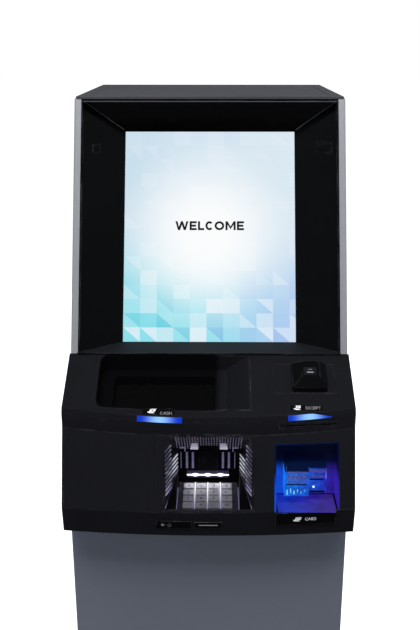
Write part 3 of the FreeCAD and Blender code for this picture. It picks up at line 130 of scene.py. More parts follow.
def maths(tree, operation, *operands, clamp=False):
    """A Math node; each operand is a socket or a number."""
    node = tree.nodes.new("ShaderNodeMath")
    node.operation = operation
    node.use_clamp = clamp
    for operand, socket in zip(operands, node.inputs):
        join(tree, operand, socket)
    return node.outputs["Value"]


def blend_colours(tree, factor, first, second, mode="MIX"):
    """A Mix node on colours; each colour is a socket or four numbers."""
    node = tree.nodes.new("ShaderNodeMix")
    node.data_type = "RGBA"
    node.blend_type = mode
    for operand, slot in ((factor, 0), (first, 6), (second, 7)):
        join(tree, operand, node.inputs[slot])
    return node.outputs[2]


def noise(tree, vector, scale, detail=2.0, rough=0.5):
    """A Noise node; its scale is a socket or a number."""
    node = tree.nodes.new("ShaderNodeTexNoise")
    for label, value in (("Detail", detail), ("Roughness", rough), ("Scale", scale), ("Vector", vector)):
        join(tree, value, node.inputs[label])
    return node.outputs["Fac"]


def ramp(tree, factor, low, high, to_low=0.0, to_high=1.0, smooth=False):
    """A Map Range node between two limits."""
    node = tree.nodes.new("ShaderNodeMapRange")
    if smooth:
        node.interpolation_type = "SMOOTHSTEP"
    join(tree, factor, node.inputs["Value"])
    for label, value in (("From Min", low), ("From Max", high), ("To Min", to_low), ("To Max", to_high)):
        join(tree, value, node.inputs[label])
    return node.outputs["Result"]

def object_place(tree):
    """Where a point lies on its object, in metres."""
    return tree.nodes.new("ShaderNodeTexCoord").outputs["Object"]


def axes_of(tree, vector):
    """X, Y and Z of a vector."""
    split = tree.nodes.new("ShaderNodeSeparateXYZ")
    join(tree, vector, split.inputs["Vector"])
    return split.outputs


# %% Finish helpers
def use_group(tree, group, **dials):
    """Place an effect in a material and set its dials."""
    node = tree.nodes.new("ShaderNodeGroup")
    node.node_tree = group
    for label, value in dials.items():
        node.inputs[label].default_value = value
    return node.outputs


def start_finish(name, roughness, metallic=0.0, specular=0.5, base=None):
    """A new material with its constants on the shader itself."""
    material = bpy.data.materials.new(name)
    material.use_nodes = True
    shader = material.node_tree.nodes["Principled BSDF"].inputs
    shader["Roughness"].default_value = roughness
    shader["Metallic"].default_value = metallic
    shader["Specular IOR Level"].default_value = specular
    if base:
        shader["Base Color"].default_value = (*base, 1)
    return material, material.node_tree, shader


def bump_from(tree, shader, height, strength, distance):
    """Feed a height into the shader's normal."""
    node = tree.nodes.new("ShaderNodeBump")
    node.inputs["Strength"].default_value = strength
    node.inputs["Distance"].default_value = distance
    join(tree, height, node.inputs["Height"])
    join(tree, node.outputs["Normal"], shader["Normal"])


print("node helpers ready")


# %% [markdown]
# ## Floor, air and lamps
# The machine stands on a pale floor in a white studio. Black gloss shows whatever stands around it, so the
# room that the reflections see is much dimmer than the white that the camera sees. That is done in the
# world and the floor with the Light Path node, and the shape of the machine comes from large soft lamps:
# most of the light falls from above, because that is what makes the sloping edges of the cabinet brighter
# than its upright door; the side panels also wear a lighter copy of the paint, which is painted light.
# Gloss doesn't mirror the lamps.

# %% World and floor
ROOM_WHITE = 1.0
ROOM_FILL = 0.13
FLOOR_REACH = 30.0
FLOOR_GLOW = 0.95


def mixed_world():
    """White to the camera, dim and slightly graded to everything else."""
    world = bpy.data.worlds.new("studio")
    world.use_nodes = True
    tree = world.node_tree
    tree.nodes.clear()
    output, mix, seen, felt, path, where = [tree.nodes.new("ShaderNode" + kind) for kind in (
        "OutputWorld", "MixShader", "Background", "Background", "LightPath", "TexCoord")]
    seen.inputs["Strength"].default_value = ROOM_WHITE
    seen.inputs["Color"].default_value = (1, 1, 1, 1)
    felt.inputs["Color"].default_value = (0.86, 0.92, 1.0, 1)
    height = axes_of(tree, where.outputs["Generated"])["Z"]
    join(tree, ramp(tree, height, -0.1, 0.9, ROOM_FILL * 0.5, ROOM_FILL * 2.2), felt.inputs["Strength"])
    join(tree, path.outputs["Is Camera Ray"], mix.inputs["Fac"])
    join(tree, felt.outputs["Background"], mix.inputs[1])
    join(tree, seen.outputs["Background"], mix.inputs[2])
    join(tree, mix.outputs["Shader"], output.inputs["Surface"])
    return world


def floor_finish():
    """Pale matt floor that meets the white air behind it, and that gloss sees as darker than it is."""
    material, tree, shader = start_finish("pale_floor", 0.9)
    path = tree.nodes.new("ShaderNodeLightPath").outputs
    tone = blend_colours(tree, path["Is Glossy Ray"], (0.62, 0.63, 0.64, 1), (0.10, 0.10, 0.11, 1))
    join(tree, tone, shader["Base Color"])
    shader["Emission Color"].default_value = (1, 1, 1, 1)
    join(tree, ramp(tree, path["Is Camera Ray"], 0.0, 1.0, 0.0, FLOOR_GLOW), shader["Emission Strength"])
    return material

def lay_floor():
    """One wide sheet under the feet."""
    mesh = bpy.data.meshes.new("floor")
    r = FLOOR_REACH
    mesh.from_pydata([(-r, -r, 0), (r, -r, 0), (r, r, 0), (-r, r, 0)], [], [(0, 1, 2, 3)])
    floor = bpy.data.objects.new("floor", mesh)
    bpy.context.scene.collection.objects.link(floor)
    floor.data.materials.append(floor_finish())
    return floor


bpy.context.scene.world = mixed_world()
lay_floor()
print("floor reaches", FLOOR_REACH, "m")


# %% Lamps
COOL = (0.93, 0.96, 1.0)
CONSOLE_AIM = (0.0, -0.2, 0.9)
keypad_low, keypad_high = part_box("keypad_body")
bar_low, bar_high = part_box("keypad_lamp")
WASH_PLACE = ((bar_low.x + bar_high.x) / 2, bar_low.y - 6 * MM, bar_high.z + 5 * MM)
WASH_AIM = (WASH_PLACE[0], (keypad_low.y + keypad_high.y) / 2, keypad_high.z)
LAMPS = (  # name, place, aim, width and height in metres, watts, colour
    ("overhead", (0.0, -1.6, 3.4), CONSOLE_AIM, 2.4, 1.0, 88.0, (1, 1, 1)),
    ("left_wash", (-2.6, -2.0, 1.5), CONSOLE_AIM, 1.2, 2.2, 14.0, COOL),
    ("right_edge", (2.3, 0.2, 1.7), (0.2, -0.2, 1.1), 0.6, 2.2, 22.0, COOL),
    ("back_wash", (0.4, 3.2, 2.4), (0.0, 0.3, 0.8), 2.2, 1.6, 60.0, (1, 1, 1)),
    ("key_wash", WASH_PLACE, WASH_AIM, 0.07, 0.006, 0.11, (0.95, 0.92, 1.0)),
)


def soft_lamp(name, place, aim, width, height, power, colour):
    """A flat softbox that faces a point on the machine and that gloss doesn't mirror."""
    data = bpy.data.lights.new(name, "AREA")
    data.shape = "RECTANGLE"
    data.size, data.size_y = width, height
    data.energy = power
    data.color = colour
    lamp = bpy.data.objects.new(name, data)
    lamp.location = place
    lamp.rotation_euler = (Vector(aim) - Vector(place)).to_track_quat("-Z", "Y").to_euler()
    lamp.visible_glossy = False
    bpy.context.scene.collection.objects.link(lamp)


for lamp in LAMPS:
    soft_lamp(*lamp)
print("lamps:", len(bpy.data.lights))


# %% [markdown]
# ## Shared effects
# Five effects come back in many finishes: slow drifts of tone, the fine grain of paint or moulded plastic,
# brushed lines, bright edges that are partly wear and partly a painted highlight, and dust that settles on
# what faces up. Each one is a node group with named dials, made once. A group only hands out masks, heights
# and colours; the shader stays outside.

# %% Helper for node groups
def open_group(name, takes, gives):
    """Start a shader node group: takes is {socket: default}, gives is {socket: type}."""
    group = bpy.data.node_groups.new(name, "ShaderNodeTree")
    for label, default in takes.items():
        kind = "NodeSocketColor" if isinstance(default, tuple) else "NodeSocketFloat"
        socket = group.interface.new_socket(name=label, in_out="INPUT", socket_type=kind)
        socket.default_value = default
    for label, kind in gives.items():
        group.interface.new_socket(name=label, in_out="OUTPUT", socket_type=kind)
    return group, group.nodes.new("NodeGroupInput"), group.nodes.new("NodeGroupOutput")


# %% Effect: drift of tone
def make_drift():
    """Slow patches of slightly lighter and darker tone, in metres across the surface."""
    group, given, out = open_group(
        "tone drift",
        {"Tone": (0.5, 0.5, 0.5, 1.0), "Amount": 0.08, "Scale": 6.0},
        {"Color": "NodeSocketColor", "Mask": "NodeSocketFloat"})
    place = object_place(group)
    patches = noise(group, place, given.outputs["Scale"], 3.0, 0.55)
    spread = ramp(group, patches, 0.3, 0.7)
    darkest = maths(group, "SUBTRACT", 1.0, maths(group, "MULTIPLY", given.outputs["Amount"], 0.5))
    gain = maths(group, "MULTIPLY_ADD", spread, given.outputs["Amount"], darkest)
    level = group.nodes.new("ShaderNodeCombineColor")
    for channel in ("Red", "Green", "Blue"):
        join(group, gain, level.inputs[channel])
    tinted = blend_colours(group, 1.0, given.outputs["Tone"], level.outputs["Color"], "MULTIPLY")
    join(group, tinted, out.inputs["Color"])
    join(group, spread, out.inputs["Mask"])
    return group


DRIFT = make_drift()
print("effect:", DRIFT.name)


# %% Effect: moulded or sprayed grain
def make_grain():
    """Fine pebbled height and its mask: small scale is orange peel, large scale is moulding texture."""
    group, given, out = open_group(
        "fine grain", {"Scale": 1500.0, "Coarse": 0.35},
        {"Height": "NodeSocketFloat", "Mask": "NodeSocketFloat"})
    place = object_place(group)
    fine = noise(group, place, given.outputs["Scale"], 2.0, 0.6)
    wide = noise(group, place, maths(group, "MULTIPLY", given.outputs["Scale"], 0.22), 1.0, 0.5)
    mixed = maths(group, "ADD", fine, maths(group, "MULTIPLY", wide, given.outputs["Coarse"]))
    join(group, mixed, out.inputs["Height"])
    join(group, ramp(group, fine, 0.42, 0.62), out.inputs["Mask"])
    return group


GRAIN = make_grain()
print("effect:", GRAIN.name)


# %% Effect: brushed lines
def make_brushed():
    """Long fine scratches along the machine's width."""
    group, given, out = open_group(
        "brushed lines", {"Scale": 900.0}, {"Height": "NodeSocketFloat", "Mask": "NodeSocketFloat"})
    place = object_place(group)
    stretch = group.nodes.new("ShaderNodeMapping")
    stretch.inputs["Scale"].default_value = (0.03, 1.0, 1.0)
    join(group, place, stretch.inputs["Vector"])
    lines = noise(group, stretch.outputs["Vector"], given.outputs["Scale"], 3.0, 0.7)
    join(group, lines, out.inputs["Height"])
    join(group, ramp(group, lines, 0.35, 0.65), out.inputs["Mask"])
    return group


BRUSHED = make_brushed()
print("effect:", BRUSHED.name)


# %% Effect: edge wear and painted edge highlight
def make_wear_and_highlight():
    """A mask along sharp edges, broken up by noise: partly paint or texture rubbed bright, partly a painted
    highlight where the edges catch light.
    """
    group, given, out = open_group(
        "edge wear and highlight", {"Amount": 0.6, "Patch": 60.0}, {"Mask": "NodeSocketFloat"})
    rounded_edge = group.nodes.new("ShaderNodeBevel")
    rounded_edge.samples = 3
    rounded_edge.inputs["Radius"].default_value = 0.0012
    facing = group.nodes.new("ShaderNodeNewGeometry").outputs["True Normal"]
    compare = group.nodes.new("ShaderNodeVectorMath")
    compare.operation = "DOT_PRODUCT"
    join(group, rounded_edge.outputs["Normal"], compare.inputs[0])
    join(group, facing, compare.inputs[1])
    edge = ramp(group, compare.outputs["Value"], 0.98, 0.80)
    place = object_place(group)
    broken = ramp(group, noise(group, place, given.outputs["Patch"], 4.0, 0.65), 0.38, 0.62)
    worn_and_lit = maths(group, "MULTIPLY", edge, broken)
    join(group, maths(group, "MULTIPLY", worn_and_lit, given.outputs["Amount"], clamp=True), out.inputs["Mask"])
    return group


WEAR_AND_HIGHLIGHT = make_wear_and_highlight()
print("effect:", WEAR_AND_HIGHLIGHT.name)


# %% Effect: settled dust
def make_dust():
    """A thin mask on faces that look up, uneven as wiped dust is."""
    group, given, out = open_group("settled dust", {"Amount": 0.2}, {"Mask": "NodeSocketFloat"})
    facing = group.nodes.new("ShaderNodeNewGeometry").outputs["Normal"]
    upward = ramp(group, axes_of(group, facing)["Z"], 0.35, 1.0)
    place = object_place(group)
    cloud = ramp(group, noise(group, place, 38.0, 6.0, 0.7), 0.2, 0.9)
    lying = maths(group, "MULTIPLY", upward, cloud)
    join(group, maths(group, "MULTIPLY", lying, given.outputs["Amount"], clamp=True), out.inputs["Mask"])
    return group


DUST = make_dust()
print("effect:", DUST.name)


# %% [markdown]
# ## Finishes
# Most of the machine is sprayed sheet steel or moulded plastic. Both are the same recipe with other dials:
# a base tone with drift, grain in the bump and the roughness, a lighter tone on the edges that is partly wear
# and partly painted highlight, and a little dust.
# One function makes that recipe, and a table gives each plain finish its dials.

# %% The common recipe
DUST_TONE = (0.34, 0.33, 0.32, 1)
GRAIN_BUMP = 0.35


def coated(name, tone, worn_and_highlight_tone, roughness, grain_scale, grain_depth, drift=0.10, wear_and_highlight=0.4, dust=0.10,
           metallic=0.0, specular=0.5, drift_scale=5.0, spread=0.08):
    """Sprayed or moulded surface: drift, grain, edges lightened by wear and by painted highlight, and dust on one
    shader.
    """
    material, tree, shader = start_finish(name, roughness, metallic, specular)
    drifting = use_group(tree, DRIFT, Tone=(*tone, 1), Amount=drift, Scale=drift_scale)
    grain = use_group(tree, GRAIN, Scale=grain_scale)
    worn_and_lit = use_group(tree, WEAR_AND_HIGHLIGHT, Amount=wear_and_highlight)
    dusty = use_group(tree, DUST, Amount=dust)
    # Lighter tone on the edges: partly wear, partly a painted highlight where the edges catch light.
    edged = blend_colours(tree, worn_and_lit["Mask"], drifting["Color"], (*worn_and_highlight_tone, 1))
    join(tree, blend_colours(tree, dusty["Mask"], edged, DUST_TONE), shader["Base Color"])
    rough = ramp(tree, grain["Mask"], 0.0, 1.0, roughness - spread, roughness + spread)
    join(tree, maths(tree, "MULTIPLY_ADD", dusty["Mask"], 0.5, rough), shader["Roughness"])
    bump_from(tree, shader, grain["Height"], GRAIN_BUMP, grain_depth)
    return material, tree, shader


def flaked(name, tone, worn_and_highlight_tone, roughness, flat, spark, **dials):
    """Satin paint with fine metal flakes: a second, sharper noise lifts the metallic value in specks."""
    material, tree, shader = coated(name, tone, worn_and_highlight_tone, roughness, 420.0, 0.00022, wear_and_highlight=0.5,
                                    drift_scale=2.5, **dials)
    flakes = ramp(tree, noise(tree, object_place(tree), 5200.0, 0.0, 0.5), 0.55, 0.7, flat, spark)
    join(tree, flakes, shader["Metallic"])
    return material


def ground(name, tone, drift, drift_scale, group, scale, rough, bump, worn_and_lit=None, start=(0.28, 1.0), **wear_and_highlight):
    """Bare material with lines or grain; rough is the range of roughness, start the plain shader."""
    material, tree, shader = start_finish(name, *start)
    colour = use_group(tree, DRIFT, Tone=(*tone, 1), Amount=drift, Scale=drift_scale)["Color"]
    lines = use_group(tree, group, Scale=scale)
    # Lighter tone on the edges: partly wear, partly a painted highlight.
    if worn_and_lit:
        colour = blend_colours(tree, use_group(tree, WEAR_AND_HIGHLIGHT, **wear_and_highlight)["Mask"], colour, (*worn_and_lit, 1))
    join(tree, colour, shader["Base Color"])
    join(tree, ramp(tree, lines["Mask"], 0.0, 1.0, *rough), shader["Roughness"])
    bump_from(tree, shader, lines["Height"], *bump)
    return material


print("recipes ready: coated, flaked, ground")


# %% [markdown]
# ### Paints, plastics and sheet metal
# The cabinet wears a blue-grey paint with flakes; its side panels a lighter silver, which is painted light: a
# lighter copy of the paint for the top light that their sloping edges catch. The plinth and shelves are dark
# powder coat, the safe a hammered warm grey, and the boxes of the modules are bare zinc-plated sheet. Several
# blacks sit side by side and must stay apart: the spark-eroded moulding of the console, the slightly lighter
# front plates, and the quieter small plates. What tells them apart is mostly roughness and how coarse the
# grain is, with very small steps of tone.

# %% Table of plain finishes
COATINGS = {  # tone, tone of edges lightened by wear and painted highlight, roughness, scale and depth in metres of the grain, other dials
    "dark_paint": ((0.052, 0.054, 0.060), (0.20, 0.20, 0.21), 0.72, 900.0, 0.00030,
                   dict(drift=0.14, wear_and_highlight=0.5, dust=0.04, specular=0.10)),
    "safe_paint": ((0.235, 0.232, 0.222), (0.45, 0.44, 0.42), 0.46, 240.0, 0.00060,
                   dict(drift=0.12, wear_and_highlight=0.6, dust=0.10)),
    "display_metal": ((0.030, 0.031, 0.034), (0.16, 0.16, 0.17), 0.44, 1100.0, 0.00020,
                      dict(drift=0.15, wear_and_highlight=0.5, dust=0.10, metallic=0.6)),
    # The light edge tones of the blacks below are mostly painted highlights, only partly wear.
    "plate_black": ((0.0016, 0.0016, 0.0020), (0.20, 0.205, 0.22), 0.24, 1400.0, 0.00008,
                    dict(drift=0.3, wear_and_highlight=0.8, dust=0.001, specular=0.10)),
    "console_black": ((0.0082, 0.0084, 0.0105), (0.11, 0.11, 0.125), 0.50, 1500.0, 0.00022,
                      dict(drift=0.22, wear_and_highlight=0.45, dust=0.003, specular=0.035)),
    "panel_grey": ((0.0092, 0.0094, 0.0115), (0.08, 0.08, 0.09), 0.54, 1900.0, 0.00018,
                   dict(drift=0.18, wear_and_highlight=0.4, dust=0.003, specular=0.045)),
    "moulded_black": ((0.018, 0.018, 0.019), (0.07, 0.07, 0.07), 0.6, 800.0, 0.0003,
                      dict(drift=0.2, wear_and_highlight=0.3, dust=0.08)),
    "cassette_plastic": ((0.085, 0.097, 0.094), (0.24, 0.25, 0.25), 0.5, 500.0, 0.0004,
                         dict(drift=0.18, wear_and_highlight=0.8, dust=0.08)),
    "bay_liner": ((0.005, 0.0048, 0.0075), (0.20, 0.19, 0.26), 0.34, 900.0, 0.0002,
                  dict(drift=0.15, wear_and_highlight=0.7, dust=0.002, specular=0.08)),
    # Painted shade: the keypad tray is a darker copy of the key steel, so the gaps between the keys read as shadow.
    "pad_steel_painted_shade": ((0.020, 0.020, 0.026), (0.10, 0.10, 0.12), 0.40, 1500.0, 0.0001,
                  dict(drift=0.2, wear_and_highlight=0.4, dust=0.002, metallic=0.5, specular=0.2)),
}
finishes = {name: coated(name, *dials, **more)[0] for name, (*dials, more) in COATINGS.items()}
finishes["silver_paint"] = flaked("silver_paint", (0.205, 0.222, 0.275), (0.42, 0.44, 0.48), 0.42, 0.25, 0.85,
                                  drift=0.07, dust=0.08)
# Painted light: a lighter copy of the silver paint on the side panels, for the top light on their sloping edges.
finishes["side_silver_painted_light"] = flaked("side_silver_painted_light", (0.36, 0.375, 0.395), (0.60, 0.61, 0.63), 0.40, 0.20, 0.75,
                                 drift=0.06, dust=0.03)
finishes["module_aluminium"] = ground("module_aluminium", (0.60, 0.61, 0.62), 0.22, 16.0, BRUSHED, 700.0,
                                      (0.28, 0.46), (0.12, 0.0002), start=(0.36, 1.0))
finishes["plain_steel"] = ground("plain_steel", (0.56, 0.56, 0.57), 0.18, 60.0, GRAIN, 1800.0,
                                 (0.20, 0.38), (0.15, 0.00015), (0.8, 0.8, 0.8), Amount=0.7)
finishes["key_steel"] = ground("key_steel", (0.66, 0.66, 0.72), 0.15, 90.0, BRUSHED, 2400.0, (0.26, 0.42),
                               (0.12, 0.0001), (0.85, 0.85, 0.9), (0.34, 0.9), Amount=0.6, Patch=200.0)
finishes["receipt_paper"] = ground("receipt_paper", (0.80, 0.79, 0.75), 0.08, 40.0, GRAIN, 2600.0, (0.7, 0.9),
                                   (0.3, 0.0002), start=(0.8, 0.0, 0.3))
print("plain finishes:", len(finishes))


# %% [markdown]
# ### Four finishes with something of their own
# The surround is polished, except on its ledge. The note well of the tray gets painted shade, darker than the
# finger scoop beside it. The shutter is polished along its travel, and the touch glass carries wiped smears.

# %% Surround, tray, shutter and glass
def gloss_black():
    """Piano black with polishing marks; its upward faces are textured and matt, so the screen isn't mirrored."""
    material, tree, shader = start_finish("gloss_black", 0.09, 0.0, 0.22)
    drifting = use_group(tree, DRIFT, Tone=(0.0016, 0.0017, 0.0020, 1), Amount=0.35, Scale=9.0)
    # Painted highlight: a light grey tone along the edges of the piano black, partly also wear.
    worn_and_lit = use_group(tree, WEAR_AND_HIGHLIGHT, Amount=0.55, Patch=25.0)
    edged = blend_colours(tree, worn_and_lit["Mask"], drifting["Color"], (0.20, 0.205, 0.22, 1))
    facing = tree.nodes.new("ShaderNodeNewGeometry").outputs["Normal"]
    upward = ramp(tree, axes_of(tree, facing)["Z"], 0.6, 0.8)
    join(tree, blend_colours(tree, upward, edged, (0.008, 0.0083, 0.0105, 1)), shader["Base Color"])
    smears = ramp(tree, drifting["Mask"], 0.0, 1.0, 0.06, 0.13)
    join(tree, maths(tree, "ADD", smears, maths(tree, "MULTIPLY", upward, 0.65)), shader["Roughness"])
    bump_from(tree, shader, noise(tree, object_place(tree), 26.0, 1.0), 0.04, 0.0006)
    return material


def tray_black():
    """The console's black, with painted shade that darkens the well holding the notes; the finger scoop beside it
    keeps the plain black.
    """
    material, tree, shader = coated("tray_black", (0.0078, 0.0080, 0.0100), (0.15, 0.15, 0.17), 0.52, 1500.0,
                                    0.00022, drift=0.22, wear_and_highlight=0.7, dust=0.002, specular=0.03)
    right_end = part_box("cash_tray")[1].x
    across = axes_of(tree, object_place(tree))["X"]
    scoop_clear_of_painted_shade = ramp(tree, across, right_end - 0.060, right_end - 0.045, 0.0, 1.0, True)
    plain = shader["Base Color"].links[0].from_socket
    # Painted shade: the well is darkened to near black, as if in shadow; the scoop keeps the plain tone.
    join(tree, blend_colours(tree, scoop_clear_of_painted_shade, (0.0022, 0.0023, 0.0028, 1), plain), shader["Base Color"])
    return material


def shutter_black():
    """Satin shutter sheet, polished along its travel by years of use."""
    material, tree, shader = coated("shutter_black", (0.0016, 0.0016, 0.0018), (0.02, 0.02, 0.022), 0.5, 1200.0,
                                    0.00014, drift=0.2, wear_and_highlight=0.6, dust=0.002, specular=0.06)
    lines = use_group(tree, BRUSHED, Scale=420.0)
    join(tree, ramp(tree, lines["Mask"], 0.0, 1.0, 0.42, 0.58), shader["Roughness"])
    return material


def smeared_glass(tree, shader, tone, amount):
    """Roughness of wiped glass; hands back the drifting tone."""
    smears = use_group(tree, DRIFT, Tone=(*tone, 1), Amount=amount, Scale=11.0)
    join(tree, ramp(tree, smears["Mask"], 0.0, 1.0, 0.05, 0.12), shader["Roughness"])
    return smears["Color"]


def touch_glass():
    """Dark glass, for the pane before it gets its picture."""
    material, tree, shader = start_finish("touch_glass", 0.07, 0.0, 0.4)
    join(tree, smeared_glass(tree, shader, (0.006, 0.006, 0.007), 0.3), shader["Base Color"])
    return material


# %% [markdown]
# ### Light in plastic
# The keypad bay is lined with dark moulded plastic that a row of violet-white diodes washes from above, and
# the card bay has a clear blue mouthpiece lit from behind. The light itself comes from a real lamp and from
# glowing pieces inside the bays; where a piece only catches that light, as the ribs, studs and lines of the
# keypad bay and the liner and floor of the card bay do, its glow is painted light. Each glow fades or changes
# tone along one direction, broken up by noise.

# %% Glowing finishes
BLACK = (0, 0, 0, 1)


def speckled(tree, scale, detail, ripple, top=1.0):
    """Uneven brightness of light in plastic."""
    return ramp(tree, noise(tree, object_place(tree), scale, detail), 0.3, 0.7, 1.0 - ripple, top)


def distance_to(tree, coordinate, centres):
    """Distance to the nearest of several places along one axis."""
    nearest = None
    for centre in centres:
        away = maths(tree, "ABSOLUTE", maths(tree, "SUBTRACT", coordinate, centre))
        nearest = away if nearest is None else maths(tree, "MINIMUM", nearest, away)
    return nearest


print("glow helpers ready")


# %% Blue light, painted light on ribs, guide lights and the key lamp
def blue_field(name, left, right, low_z, high_z, strength, ripple, scale=120.0):
    """Light in blue plastic: one tone at the left, another at the right, gone above a height; on the bay's liner it
    is painted light spilled from the mouthpiece.
    """
    material, tree, shader = start_finish(name, 0.16, 0.0, 0.12, (0.002, 0.006, 0.03))
    place = axes_of(tree, object_place(tree))
    low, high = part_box("card_bay")
    tone = blend_colours(tree, ramp(tree, place["X"], low.x, high.x, 0.0, 1.0, True), (*left, 1), (*right, 1))
    height = ramp(tree, place["Z"], low_z, high_z, 1.0, 0.012, True)
    lit = maths(tree, "MULTIPLY", height, speckled(tree, scale, 4.0, ripple))
    join(tree, blend_colours(tree, lit, BLACK, tone), shader["Emission Color"])
    shader["Emission Strength"].default_value = strength
    return material


def lit_plastic(name, axis, start, end, near, far, strength, ripple=0.3, scale=260.0):
    """Plastic whose glow goes from one tone to another along X, Y or Z, between two places in metres; on pieces
    that only catch light, this glow is painted light.
    """
    material, tree, shader = start_finish(name, 0.3, base=(0.02, 0.02, 0.03))
    share = ramp(tree, axes_of(tree, object_place(tree))[axis], start, end, 0.0, 1.0, True)
    tone = blend_colours(tree, share, (*near, 1), (*far, 1))
    join(tree, blend_colours(tree, speckled(tree, scale, 3.0, ripple), BLACK, tone), shader["Emission Color"])
    shader["Emission Strength"].default_value = strength
    return material


def light_guide():
    """Blue guide lights under the lip, palest at the middle of each length."""
    core, tip, ripple = (0.28, 0.56, 1.0), (0.0, 0.025, 0.42), 0.03
    across = [vertex.co.x for vertex in nodes["guide_lights"].data.vertices]
    lengths = [[x for x in across if x < 0], [x for x in across if x > 0]]
    centres = [(min(length) + max(length)) / 2 for length in lengths]
    half = (max(lengths[0]) - min(lengths[0])) / 2
    material, tree, shader = start_finish("light_guide", 0.3, base=[0.3 * part for part in tip])
    away = distance_to(tree, axes_of(tree, object_place(tree))["X"], centres)
    fade = ramp(tree, maths(tree, "DIVIDE", away, 0.95 * half), 0.0, 1.0, 1.0, 0.0, True)
    uneven = speckled(tree, 420.0, 2.0, ripple, 1.0 + ripple)
    lit = maths(tree, "MULTIPLY", maths(tree, "POWER", fade, 1.4), uneven, clamp=True)
    join(tree, blend_colours(tree, lit, (*tip, 1), (*core, 1)), shader["Emission Color"])
    shader["Emission Strength"].default_value = 1.1
    return material


def bay_lamp():
    """Frosted bar over the keys: a thin bright line that swells at its three diodes."""
    low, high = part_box("keypad_lamp")
    centres = [low.x + (high.x - low.x) * share for share in (0.2, 0.5, 0.8)]
    material, tree, shader = start_finish("bay_lamp", 0.3, base=(0.03, 0.03, 0.04))
    place = axes_of(tree, object_place(tree))
    swell = ramp(tree, distance_to(tree, place["X"], centres), 0.0, 0.008, 0.0024, 0.0006, True)
    off_line = distance_to(tree, place["Z"], [low.z + 0.45 * (high.z - low.z)])
    lit = ramp(tree, maths(tree, "SUBTRACT", swell, off_line), -0.0012, 0.0002, 0.0, 1.0, True)
    join(tree, blend_colours(tree, lit, (0.006, 0.005, 0.012, 1), (1.0, 0.97, 1.0, 1)), shader["Emission Color"])
    shader["Emission Strength"].default_value = 2.4
    return material


# %% Make the finishes that have a function of their own
mouth_low, mouth_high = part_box("card_bezel")
finishes["blue_bezel"] = blue_field("blue_bezel", (0.004, 0.22, 1.0), (0.02, 0.02, 0.60),
                                    mouth_high.z - 3.5 * MM, mouth_high.z - 0.5 * MM, 1.0, 0.6)
# Painted light: the card bay's liner glows with the blue light that the mouthpiece would spill on it.
finishes["blue_painted_spill"] = blue_field("blue_painted_spill", (0.008, 0.10, 0.95), (0.040, 0.015, 0.42),
                                    mouth_high.z - 24 * MM, mouth_high.z + 2 * MM, 0.75, 0.35, 60.0)
for make in (gloss_black, tray_black, shutter_black, touch_glass, light_guide, bay_lamp):
    finishes[make.__name__] = make()
print("finishes:", len(finishes))


# %% [markdown]
# ### Paint the finished parts
# The record says which finish each part has, so the parts are painted from that list. A few differ in tone:
# the bar over the keys glows white, the tray between the keys is painted darker than the keys as painted shade,
# the side panels are a lighter silver than the door as painted light, and the small plates and the reader are
# a quieter black than the surround.

# %% Assign finishes
OTHER_TONES = {
    "keypad_lamp": "bay_lamp", "keypad_body": "pad_steel_painted_shade", "cash_tray": "tray_black", "card_bay": "blue_painted_spill",
    "side_panel_left": "side_silver_painted_light", "side_panel_right": "side_silver_painted_light", "card_shelf": "plate_black",
    "headset_plate": "plate_black", "name_plate": "plate_black", "reader_block": "plate_black",
}
for name, part in nodes.items():
    part.data.materials.clear()
    part.data.materials.append(finishes[OTHER_TONES.get(name, slot_of[name])])
print("painted:", len(nodes))


# %% [markdown]
# ## Softer edges
# Real edges are never knife sharp: sheet metal is folded round a radius, and moulds are broken at the corners.
# A narrow bright line along each edge is most of what makes a machine look real. The parts are welded, their
# flat faces are merged, and a bevel then rounds only the true corners. All of it is modifiers, so the
# finished parts themselves stay as they are.

# %% Bevel the parts
EDGE_ANGLE = math.radians(28)
WELD_GAP = 0.02
FLAT_ANGLE = math.radians(0.6)


def round_corners(part, radius):
    """Bevel the sharp corners of an object by a radius in millimetres."""
    bevel = part.modifiers.new("round corners", "BEVEL")
    bevel.width = radius * MM
    bevel.segments = 2
    bevel.limit_method = "ANGLE"
    bevel.harden_normals = True
    return bevel


def soften(name, radius):
    """Round the true corners of a part by a radius in millimetres."""
    part = nodes[name]
    part.modifiers.new("weld", "WELD").merge_threshold = WELD_GAP * MM
    flat = part.modifiers.new("merge flats", "DECIMATE")
    flat.decimate_type = "DISSOLVE"
    flat.angle_limit = FLAT_ANGLE
    round_corners(part, radius).angle_limit = EDGE_ANGLE
    part.modifiers.new("even shading", "WEIGHTED_NORMAL").keep_sharp = False

CORNERS = {
    "display_surround": 0.6, "console_cover": 0.7, "console_panel": 0.5, "blank_panel": 0.5,
    "cash_tray": 0.8, "cash_shutter": 0.4, "card_shelf": 0.5, "reader_frame": 0.4, "reader_block": 1.0,
    "card_bezel": 0.8, "card_bay": 0.4, "keypad_body": 0.3, "receipt_bezel": 0.3, "headset_plate": 0.3,
    "name_plate": 0.3, "side_panel_left": 0.6, "side_panel_right": 0.6, "base_plinth": 0.8,
    "safe_door": 1.0, "safe_body": 1.0, "computer_unit": 0.6, "receipt_printer": 0.6, "card_reader": 0.6,
    "note_transport": 0.6, "cash_dispenser": 0.6, "note_cassettes": 1.2, "safe_handle": 0.8,
    "equipment_shelf": 0.4, "camera_window": 0.5, "power_inlet": 0.3,
}
for name, radius in CORNERS.items():
    soften(name, radius)
print("softened:", len(CORNERS))


# %% [markdown]
# ## Tools for making small pieces
# Nearly every small piece is one of four kinds: a flat plate cut to an outline, a turned piece, a straight
# bar, or a word. Each kind has one function that works in millimetres on a face of the machine, and a face
# is a matrix whose X runs across it, Y up it and Z out of it.

